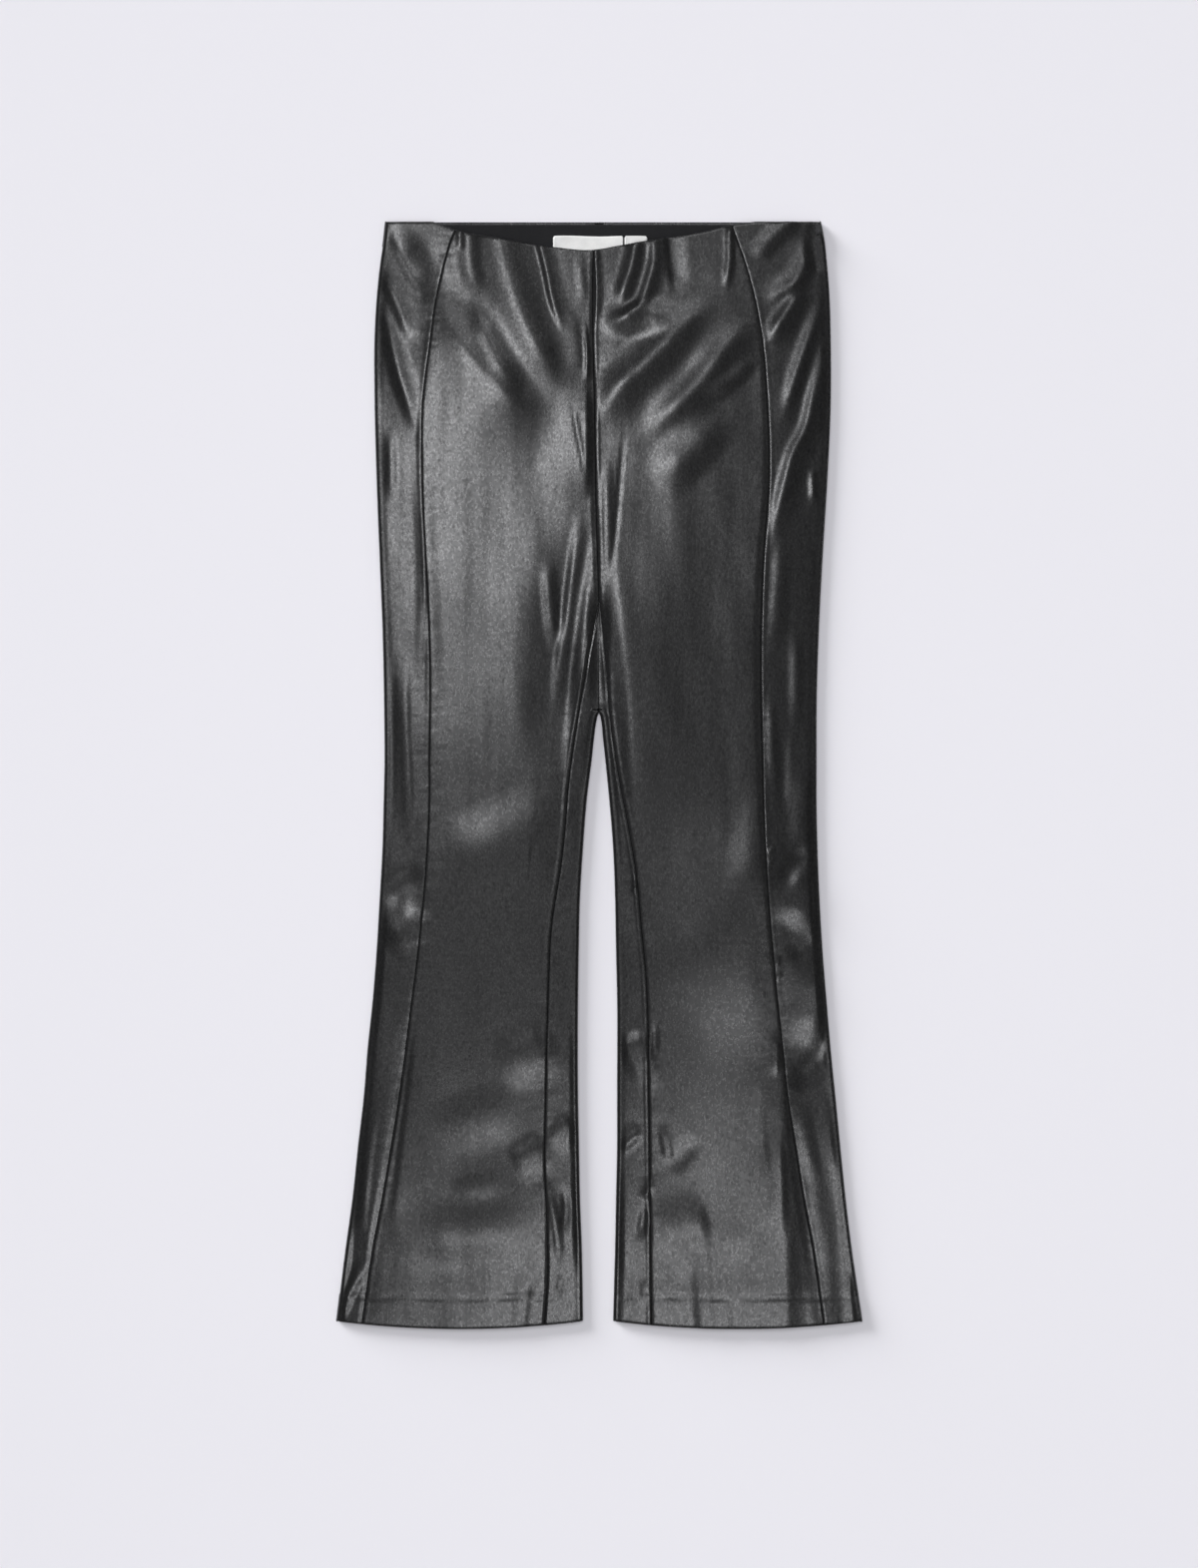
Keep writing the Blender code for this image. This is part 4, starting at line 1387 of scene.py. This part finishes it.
@dataclass(frozen=True)
class WaistInside:
    """The elastic inside the back waist, with the bare label and size tab sewn on it."""

    elastic: bpy.types.Material
    woven: bpy.types.Material
    thread: bpy.types.Material
    half_width: float = 176.0
    elastic_drops: tuple[float, float] = (1.5, 38.0)
    elastic_base: float = 1.5
    elastic_wall: float = 1.2
    label_across: tuple[float, float] = (-39.5, 20.2)
    label_drops: tuple[float, float] = (11.3, 35.0)
    tab_across: tuple[float, float] = (21.4, 40.6)
    tab_drops: tuple[float, float] = (11.4, 19.6)
    label_base: float = 2.75
    label_wall: float = 0.45
    corner: float = 1.6
    stitch_length: float = 1.5
    stitch_width: float = 0.45
    stitch_pitch: float = 2.6
    stitch_rise: float = 0.12
    elastic_steps: tuple[int, int] = (241, 30)
    label_step: float = 0.8
    label_rows: int = 20
    edge_wave: float = 0.35
    edge_wave_reach: float = 9.0
    least_flat: float = 10.0  # a folded tab's cut is longer than what shows
    stitch_insets: tuple[float, float, float, float] = (1.6, -1.4, 1.3, -1.5)
    stitch_top: float = 1.9
    stitch_foot: float = 1.0

    RIBS = Ripples(31, 7, 60, 0.05)
    WARP = Ripples(37, 60, 30, 0.12)

    def elastic_band(self) -> bpy.types.Object:
        """Builds the elastic as a fine grid with uneven ribs.

        Returns:
            The piece.
        """
        across = np.linspace(self.half_width, -self.half_width, self.elastic_steps[0])[None, :]
        drop = np.linspace(*self.elastic_drops, self.elastic_steps[1])[:, None]
        top = self.elastic_base + self.elastic_wall + self.RIBS.at(across, drop)
        points = np.stack(np.broadcast_arrays(across, drop, top), axis=-1)
        piece = grid_mesh("elastic_band", points)
        add_wall(piece, self.elastic_wall)
        dress(piece, self.elastic, ["waist_elastic"])
        length = self.elastic_drops[1] - self.elastic_drops[0]
        2 * self.half_width * MM
        length * MM
        return piece

    def woven_piece(
        self, name: str, node: str, acrosses: tuple[float, float], drops: tuple[float, float]
    ) -> bpy.types.Object:
        """Builds a label: a thin woven strip with rounded corners and a slightly uneven edge.

        Args:
            name: the piece's name.
            node: the CAD node that it stands for.
            acrosses: its left and right ends in the photograph.
            drops: its top and bottom.

        Returns:
            The piece.
        """
        left, right = acrosses
        top, bottom = drops
        across = np.linspace(right, left, round((right - left) / self.label_step) + 1)[None, :]
        share = np.linspace(0, 1, self.label_rows)[:, None]
        from_end = np.minimum(across - left, right - across)
        rounding = self.corner * (1 - np.sqrt(np.clip(1 - (1 - from_end / self.corner) ** 2, 0, 1)))
        rounding = np.where(from_end < self.corner, rounding, 0)
        uneven = self.edge_wave * np.cos(across / self.edge_wave_reach) + rounding
        drop = top + uneven + share * (bottom - top - uneven)
        height = self.label_base + self.label_wall + self.WARP.at(across, drop)
        points = np.stack(np.broadcast_arrays(across, drop, height), axis=-1)
        piece = grid_mesh(name, points)
        add_wall(piece, self.label_wall)
        dress(piece, self.woven, [node])
        flat = ((right - left) * MM, max(bottom - top, self.least_flat) * MM)
        area = (right - left) * (bottom - top) * MM * MM
        return piece

    def stitches(self) -> bpy.types.Object:
        """Sews each label's ends down with short stitches.

        Returns:
            The piece.
        """
        shape = bmesh.new()
        ends = (*self.label_across, *self.tab_across)
        bottoms = (self.label_drops[1],) * 2 + (self.tab_drops[1],) * 2
        height = self.label_base + self.label_wall + self.stitch_rise
        sizes = (self.stitch_width, self.stitch_length, self.stitch_width)
        for end, inset, bottom in zip(ends, self.stitch_insets, bottoms):
            first, last = self.label_drops[0] + self.stitch_top, bottom - self.stitch_foot
            for drop in np.arange(first, last, self.stitch_pitch):
                place = to_metres(np.array([end + inset, drop, height]))
                made = bmesh.ops.create_uvsphere(shape, u_segments=10, v_segments=6, radius=MM / 2)
                bmesh.ops.scale(shape, vec=sizes, verts=made["verts"])
                bmesh.ops.translate(shape, vec=place, verts=made["verts"])
        piece = new_piece("label_stitches", shape)
        return dress(piece, self.thread, [])

    def build(self) -> list[bpy.types.Object]:
        """Builds everything that shows above the front waist edge.

        Returns:
            The pieces.
        """
        return [
            self.elastic_band(),
            self.woven_piece("main_label", "woven_label", self.label_across, self.label_drops),
            self.woven_piece("small_tab", "size_tab", self.tab_across, self.tab_drops),
            self.stitches(),
        ]


@dataclass(frozen=True)
class SideZip:
    """The concealed zip in the wearer's left side seam: tape, coil, slider and pull tab."""

    cut: Cut
    tape: bpy.types.Material
    metal: bpy.types.Material
    seam_turn: float = 50.0
    half_width_turn: float = 12.0
    sink: float = 0.75
    wall: float = 0.5
    top_drop: float = 1.0
    bottom_drop: float = 186.0
    coil_pitch: float = 1.5
    coil_sizes: tuple[float, float, float] = (0.5, 0.8, 1.5)
    coil_sink: float = 0.35
    tape_steps: tuple[int, int] = (140, 5)

    def point(self, drop: float, turn: float, sink: float) -> Numbers:
        """A point on the rolled edge.

        Args:
            drop: its drop.
            turn: its turn in degrees above the horizontal.
            sink: how far it lies below the outer face.

        Returns:
            Its across, drop and height.
        """
        angle = math.radians(turn)
        radius = EDGE_RADIUS - sink
        across = float(self.cut.outer_edge[Side.LEFT](drop)) + radius * math.cos(angle) - EDGE_RADIUS
        return np.array([across, drop, EDGE_RADIUS + radius * math.sin(angle)])

    def band(self) -> bpy.types.Object:
        """Builds the tape that shows between the seam's edges.

        Returns:
            The piece.
        """
        rows, columns = self.tape_steps
        drops = np.linspace(self.top_drop, self.bottom_drop, rows)
        upper, lower = self.seam_turn + self.half_width_turn, self.seam_turn - self.half_width_turn
        turns = np.linspace(upper, lower, columns)
        points = np.array([[self.point(drop, turn, self.sink) for turn in turns] for drop in drops])
        piece = grid_mesh("zip_tape", points, True)
        add_wall(piece, self.wall)
        dress(piece, self.tape, ["side_zip"])
        return piece

    def coil(self) -> bpy.types.Object:
        """Builds the coil's loops, one short rounded bar after another.

        Returns:
            The piece.
        """
        shape = bmesh.new()
        drops = np.arange(self.top_drop + self.coil_pitch, self.bottom_drop, self.coil_pitch)
        for drop in drops:
            made = bmesh.ops.create_icosphere(shape, subdivisions=1, radius=MM / 2)
            bmesh.ops.scale(shape, vec=self.coil_sizes, verts=made["verts"])
            turn = Matrix.Rotation(math.radians(self.seam_turn - 90), 3, "Y")
            bmesh.ops.rotate(shape, matrix=turn.inverted(), verts=made["verts"])
            place = to_metres(self.point(drop, self.seam_turn, self.coil_sink))
            bmesh.ops.translate(shape, vec=place, verts=made["verts"])
        piece = new_piece("zip_coil", shape)
        return dress(piece, self.metal, [])

    def hardware(self) -> None:
        """Gives the slider and the pull tab their finish."""
        for node in ("zip_slider", "zip_pull"):
            piece = bpy.data.objects[node]
            piece.data.materials.clear()
            piece.data.materials.append(self.metal)
            log.info("%s keeps its solid", node)

    def build(self) -> list[bpy.types.Object]:
        """Builds the zip."""
        self.hardware()
        return [self.band(), self.coil()]


class Grain(NamedTuple):
    """A noise pattern: its size in millimetres, and its scale on each axis. Below 1 draws it out."""

    size: float
    scale: tuple[float, float, float] = (1, 1, 1)
    detail: float = 2.0
    roughness: float = 0.5


class Value:
    """A shader socket that Python's operators work on."""

    def __init__(self, shader: "Shader", socket: bpy.types.NodeSocket) -> None:
        """Keeps the socket and the shader that it belongs to."""
        self.shader = shader
        self.socket = socket

    def __add__(self, other: "Value | float") -> "Value":
        """The sum."""
        return self.shader.math("ADD", self, other)

    __radd__ = __add__

    def __mul__(self, other: "Value | float") -> "Value":
        """The product."""
        return self.shader.math("MULTIPLY", self, other)

    __rmul__ = __mul__

    def __sub__(self, other: "Value | float") -> "Value":
        """The difference."""
        return self.shader.math("SUBTRACT", self, other)

    def __rsub__(self, other: "Value | float") -> "Value":
        """The difference from a number."""
        return self.shader.math("SUBTRACT", other, self)

    def __abs__(self) -> "Value":
        """The size without its sign."""
        return self.shader.math("ABSOLUTE", self)

    def between(self, low: float, high: float) -> "Value":
        """A soft step.

        Args:
            low: where the step is 0.
            high: where it is 1.

        Returns:
            The step.
        """
        settings = {"interpolation_type": "SMOOTHSTEP"}
        inputs = {"Value": self, "From Min": low, "From Max": high}
        return Value(self.shader, self.shader.node("ShaderNodeMapRange", settings, inputs).outputs[0])


class Shader:
    """One material and the nodes behind its Principled shader."""

    # Places of the Mix node's colour sockets
    FIRST_COLOUR = 6
    SECOND_COLOUR = 7
    MIXED_COLOUR = 2

    def __init__(self, name: str) -> None:
        """Makes the material.

        Args:
            name: the material's name.
        """
        self.material = bpy.data.materials.new(name)
        self.material.use_nodes = True
        self.tree = self.material.node_tree
        self.surface = self.tree.nodes["Principled BSDF"]

    def node(self, kind: str, settings: dict | None = None, inputs: dict | None = None) -> bpy.types.Node:
        """Adds a node.

        Args:
            kind: its type.
            settings: its properties, set first.
            inputs: the value or the link of each socket, by name or number.

        Returns:
            The node.
        """
        made = self.tree.nodes.new(kind)
        for name, value in (settings or {}).items():
            setattr(made, name, value)
        self.feed(made, inputs or {})
        return made

    def feed(self, node: bpy.types.Node, inputs: dict) -> None:
        """Sets or links a node's sockets.

        Args:
            node: the node.
            inputs: the value or the link of each socket, by name or number.
        """
        for name, value in inputs.items():
            socket = value.socket if isinstance(value, Value) else value
            if isinstance(socket, bpy.types.NodeSocket):
                self.tree.links.new(socket, node.inputs[name])
            else:
                node.inputs[name].default_value = socket

    def math(self, operation: str, *values: Value | float) -> Value:
        """A Math node.

        Args:
            operation: what it works out.
            values: its inputs, in order.

        Returns:
            Its result.
        """
        node = self.node("ShaderNodeMath", {"operation": operation}, dict(enumerate(values)))
        return Value(self, node.outputs[0])

    def axis(self, name: str) -> Value:
        """One axis of the Object coordinates, in millimetres.

        Args:
            name: X, Y or Z.

        Returns:
            The place along it.
        """
        source = self.node("ShaderNodeTexCoord").outputs["Object"]
        parts = self.node("ShaderNodeSeparateXYZ", None, {0: source})
        return Value(self, parts.outputs[name]) * PER_METRE

    def noise(self, grain: Grain) -> Value:
        """Noise over the Object coordinates.

        Args:
            grain: the pattern, whose cells are about its size.

        Returns:
            The noise, from 0 to 1.
        """
        source = self.node("ShaderNodeTexCoord").outputs["Object"]
        scale = tuple(PER_METRE * part for part in grain.scale)
        place = self.node("ShaderNodeMapping", None, {"Vector": source, "Scale": scale}).outputs[0]
        inputs = {
            "Vector": place,
            "Scale": 1 / grain.size,
            "Detail": grain.detail,
            "Roughness": grain.roughness,
        }
        return Value(self, self.node("ShaderNodeTexNoise", None, inputs).outputs[0])

    def mix(self, factor: Value, first: Sequence[float], second: Sequence[float]) -> Value:
        """A colour between two.

        Args:
            factor: 0 for the first colour and 1 for the second.
            first: the first colour.
            second: the second one.

        Returns:
            The mixed colour.
        """
        inputs = {"Factor": factor, self.FIRST_COLOUR: (*first, 1), self.SECOND_COLOUR: (*second, 1)}
        node = self.node("ShaderNodeMix", {"data_type": "RGBA"}, inputs)
        return Value(self, node.outputs[self.MIXED_COLOUR])

    def bump(self, height: Value, depth: float) -> Value:
        """A bump whose height of 1 stands for the given depth in millimetres."""
        inputs = {"Height": height, "Distance": depth * MM, "Strength": 1.0}
        return Value(self, self.node("ShaderNodeBump", None, inputs).outputs[0])

    def finish(self, **inputs: object) -> bpy.types.Material:
        """Feeds the Principled shader.

        Args:
            inputs: what goes into each socket, by its name with _ for a space.

        Returns:
            The material.
        """
        named = {name.replace("_", " "): value for name, value in inputs.items()}
        self.feed(self.surface, named)
        return self.material


@dataclass(frozen=True)
class FauxLeather:
    """Black coated cloth with a fine upright grain and a soft sheen."""

    dark: Colour = (0.0022, 0.0023, 0.0026)
    light: Colour = (0.0048, 0.0048, 0.0053)
    roughness: float = 0.28
    roughness_spread: float = 0.06
    specular: float = 0.15
    coat: float = 0.66
    coat_spread: float = 1.9
    least_coat: float = 0.05
    coat_roughness: float = 0.22
    coat_index: float = 1.6
    pebble_in_coat: float = 0.7
    strokes_in_coat: float = 0.3
    pebble_height: float = 0.3
    strokes_height: float = 0.8
    wrinkle_height: float = 1.2
    grain_depth: float = 0.16
    wrinkles_start: float = 840.0  # the drop where the fine wrinkles above the hem set in

    PEBBLE = Grain(1.35, (1, 0.55, 1), 1.0)
    STROKES = Grain(2.6, (1, 0.4, 1))
    PATCHES = Grain(34, (1, 0.45, 1), 3.0, 0.55)
    WRINKLES = Grain(3.6, (1, 0.12, 1), 1.0, 0.4)

    def material(self) -> bpy.types.Material:
        """Makes the finish.

        Returns:
            The material.
        """
        shader = Shader("faux_leather")
        pebble = shader.noise(self.PEBBLE)
        strokes = shader.noise(self.STROKES)
        patches = shader.noise(self.PATCHES)
        near_hem = (HALF_LENGTH - shader.axis("Y")).between(self.wrinkles_start, SIDE_LENGTH)
        wrinkles = shader.noise(self.WRINKLES) * near_hem
        speckle = pebble * self.pebble_in_coat + strokes * self.strokes_in_coat - NOISE_MIDDLE
        coat = self.coat + speckle * self.coat_spread
        grain = strokes * self.strokes_height + pebble * self.pebble_height
        return shader.finish(
            Base_Color=shader.mix(patches, self.dark, self.light),
            Roughness=self.roughness + (patches - NOISE_MIDDLE) * self.roughness_spread,
            Specular_IOR_Level=self.specular,
            Coat_Weight=shader.math("MAXIMUM", coat, self.least_coat),
            Coat_Roughness=self.coat_roughness,
            Coat_IOR=self.coat_index,
            Normal=shader.bump(grain + wrinkles * self.wrinkle_height, self.grain_depth),
        )


@dataclass(frozen=True)
class WovenElastic:
    """Matt black woven elastic with fine upright ribs."""

    dark: Colour = (0.007, 0.007, 0.008)
    light: Colour = (0.022, 0.022, 0.024)
    rib_turn: float = 5.7  # radians of the ribs' wave in each millimetre
    rib_height: float = 0.4
    pick_height: float = 0.8
    weave_depth: float = 0.25
    roughness: float = 0.82
    specular: float = 0.35

    PICKS = Grain(0.78, (1, 2.2, 1), 2.0, 0.6)

    def material(self) -> bpy.types.Material:
        """Makes the finish.

        Returns:
            The material.
        """
        shader = Shader("woven_elastic")
        ribs = abs(shader.math("SINE", shader.axis("X") * self.rib_turn))
        picks = shader.noise(self.PICKS)
        weave = ribs * self.rib_height + picks * self.pick_height
        return shader.finish(
            Base_Color=shader.mix(picks, self.dark, self.light),
            Roughness=self.roughness,
            Specular_IOR_Level=self.specular,
            Normal=shader.bump(weave, self.weave_depth),
        )


@dataclass(frozen=True)
class WovenLabel:
    """Bare white satin-woven tape."""

    dark: Colour = (0.62, 0.62, 0.62)
    light: Colour = (0.86, 0.86, 0.85)
    picks_in_tone: float = 0.5
    cloud_in_tone: float = 0.6
    roughness: float = 0.55
    weave_depth: float = 0.10

    PICKS = Grain(0.55, (0.35, 1.6, 1), 1.0)
    CLOUD = Grain(7.0)

    def material(self) -> bpy.types.Material:
        """Makes the finish.

        Returns:
            The material.
        """
        shader = Shader("woven_label")
        picks = shader.noise(self.PICKS)
        tone = picks * self.picks_in_tone + shader.noise(self.CLOUD) * self.cloud_in_tone
        return shader.finish(
            Base_Color=shader.mix(tone, self.dark, self.light),
            Roughness=self.roughness,
            Normal=shader.bump(picks, self.weave_depth),
        )


@dataclass(frozen=True)
class ZipTape:
    """Black woven zip tape."""

    dark: Colour = (0.008, 0.008, 0.009)
    light: Colour = (0.016, 0.016, 0.018)
    roughness: float = 0.7
    weave_depth: float = 0.1

    PICKS = Grain(0.8, (2.0, 1, 1), 1.0)

    def material(self) -> bpy.types.Material:
        """Makes the finish.

        Returns:
            The material.
        """
        shader = Shader("zip_tape")
        picks = shader.noise(self.PICKS)
        return shader.finish(
            Base_Color=shader.mix(picks, self.dark, self.light),
            Roughness=self.roughness,
            Normal=shader.bump(picks, self.weave_depth),
        )


@dataclass(frozen=True)
class Lacquer:
    """Black lacquered metal with a faint orange-peel surface, worn lighter in places."""

    new: Colour = (0.02, 0.02, 0.022)
    worn: Colour = (0.06, 0.06, 0.066)
    wear_start: float = 0.6
    wear_end: float = 0.75
    roughness: float = 0.22
    worn_roughness: float = 0.1
    metallic: float = 0.35
    coat: float = 0.6
    peel_depth: float = 0.03

    PEEL = Grain(0.7)
    WEAR = Grain(2.5, (1, 1, 1), 3.0)

    def material(self) -> bpy.types.Material:
        """Makes the finish.

        Returns:
            The material.
        """
        shader = Shader("black_lacquer")
        wear = shader.noise(self.WEAR).between(self.wear_start, self.wear_end)
        return shader.finish(
            Base_Color=shader.mix(wear, self.new, self.worn),
            Roughness=self.roughness + wear * self.worn_roughness,
            Metallic=self.metallic,
            Coat_Weight=self.coat,
            Normal=shader.bump(shader.noise(self.PEEL), self.peel_depth),
        )


@dataclass(frozen=True)
class FloorPaint:
    """Matt pale paint with a barely uneven tone."""

    dark: Colour = (0.815, 0.806, 0.856)
    unevenness: float = 1.004
    roughness: float = 0.9
    specular: float = 0.1

    CLOUD = Grain(300)

    def material(self) -> bpy.types.Material:
        """Makes the finish.

        Returns:
            The material.
        """
        shader = Shader("floor_paint")
        light = tuple(self.unevenness * part for part in self.dark)
        return shader.finish(
            Base_Color=shader.mix(shader.noise(self.CLOUD), self.dark, light),
            Roughness=self.roughness,
            Specular_IOR_Level=self.specular,
        )


@dataclass(frozen=True)
class Softbox:
    """A soft rectangular light above the set, in metres and watts."""

    place: tuple[float, float, float]
    size: tuple[float, float]
    power: float


@dataclass(frozen=True)
class Wash:
    """Far soft light that the floor and the shadows show, and the gloss doesn't."""

    come_from: tuple[float, float, float]
    strength: float
    degrees: float


@dataclass(frozen=True)
class Studio:
    """The pale floor, the soft lights and the camera straight above."""

    camera_height: float = 4.0
    sensor: float = 36.0
    floor_size: float = 14.0
    world_light: float = 0.20
    cool: Colour = (0.975, 0.978, 1.0)
    white: tuple[float, float, float, float] = (1, 1, 1, 1)

    SOFTBOXES = {
        "waist_softbox": Softbox((-0.34, 0.48, 3.0), (0.36, 0.55), 10.2),
        "foot_softbox": Softbox((-0.12, -0.86, 3.0), (0.4, 0.3), 4.4),
        "corner_softbox": Softbox((0.37, -0.78, 3.0), (0.3, 0.3), 3.9),
        "back_softbox": Softbox((0.15, 1.25, 3.0), (0.7, 0.25), 4.0),
    }
    WASHES = {
        "low_wash": Wash((-0.755, 0.62, 0.215), 5.25, 30.0),
        "top_wash": Wash((0.0, 0.05, 1.0), 0.78, 60.0),
    }

    def floor(self) -> None:
        """Lays the floor that the garment rests on."""
        shape = bmesh.new()
        bmesh.ops.create_grid(shape, x_segments=2, y_segments=2, size=self.floor_size / 2)
        piece = new_piece("floor", shape)
        piece.data.materials.append(FloorPaint().material())

    def light(self, name: str, kind: str, place: Sequence[float], aim: Sequence[float]) -> bpy.types.Light:
        """Adds a light that points from one place to another.

        Args:
            name: the light's name.
            kind: its type.
            place: where it is.
            aim: what it points at.

        Returns:
            The light's settings.
        """
        data = bpy.data.lights.new(name, kind)
        lamp = bpy.data.objects.new(name, data)
        back = (Vector(place) - Vector(aim)).normalized()
        right = Vector((0, 1, 0)).cross(back).normalized()
        turn = Matrix((right, back.cross(right), back)).transposed()
        lamp.matrix_world = Matrix.Translation(place) @ turn.to_4x4()
        lamp.visible_camera = False
        bpy.context.scene.collection.objects.link(lamp)
        return data

    def lights(self) -> None:
        """Adds the softboxes, the washes and the even surrounding light."""
        for name, box in self.SOFTBOXES.items():
            lamp = self.light(name, "AREA", box.place, (*box.place[:2], 0))
            lamp.shape = "RECTANGLE"
            lamp.size, lamp.size_y = box.size
            lamp.energy = box.power
            lamp.color = self.cool
        for name, wash in self.WASHES.items():
            lamp = self.light(name, "SUN", wash.come_from, (0, 0, 0))
            lamp.energy = wash.strength
            lamp.angle = math.radians(wash.degrees)
            bpy.data.objects[name].visible_glossy = False
        world = bpy.data.worlds.new("studio")
        world.use_nodes = True
        around = world.node_tree.nodes["Background"].inputs
        around["Color"].default_value = self.white
        around["Strength"].default_value = self.world_light
        bpy.context.scene.world = world

    def camera(self) -> None:
        """Sets the camera straight above, framed as the photograph."""
        middle_across = (PHOTO_WIDTH / 2 - CENTRE_PIXEL) * PIXEL
        middle_drop = (PHOTO_HEIGHT / 2 - WAIST_PIXEL) * PIXEL
        data = bpy.data.cameras.new("camera")
        camera = bpy.data.objects.new("camera", data)
        camera.location = (middle_across * MM, (HALF_LENGTH - middle_drop) * MM, self.camera_height)
        data.sensor_width = self.sensor
        distance = self.camera_height - LAYERS * MM
        data.lens = self.sensor * distance / (PHOTO_HEIGHT * PIXEL * MM)
        bpy.context.scene.collection.objects.link(camera)
        bpy.context.scene.camera = camera

    def build(self) -> None:
        """Builds the whole set."""
        self.floor()
        self.lights()
        self.camera()
        settings = bpy.context.scene.view_settings
        settings.view_transform = "Standard"
        settings.look = "None"


def main() -> None:
    """Builds the garment and the set around it."""
    logging.basicConfig(level=logging.INFO, format="%(message)s")
    Studio().build()
    cut = Cut()
    leather = FauxLeather().material()
    woven = WovenLabel().material()
    lacquer = Lacquer().material()
    shared = (cut, Relief(cut), Cloth(), leather)
    BackPanels(*shared).build()
    FrontPanels(*shared).build()
    WaistInside(WovenElastic().material(), woven, woven).build()
    SideZip(cut, ZipTape().material(), lacquer).build()


if __name__ == "__main__":
    main()
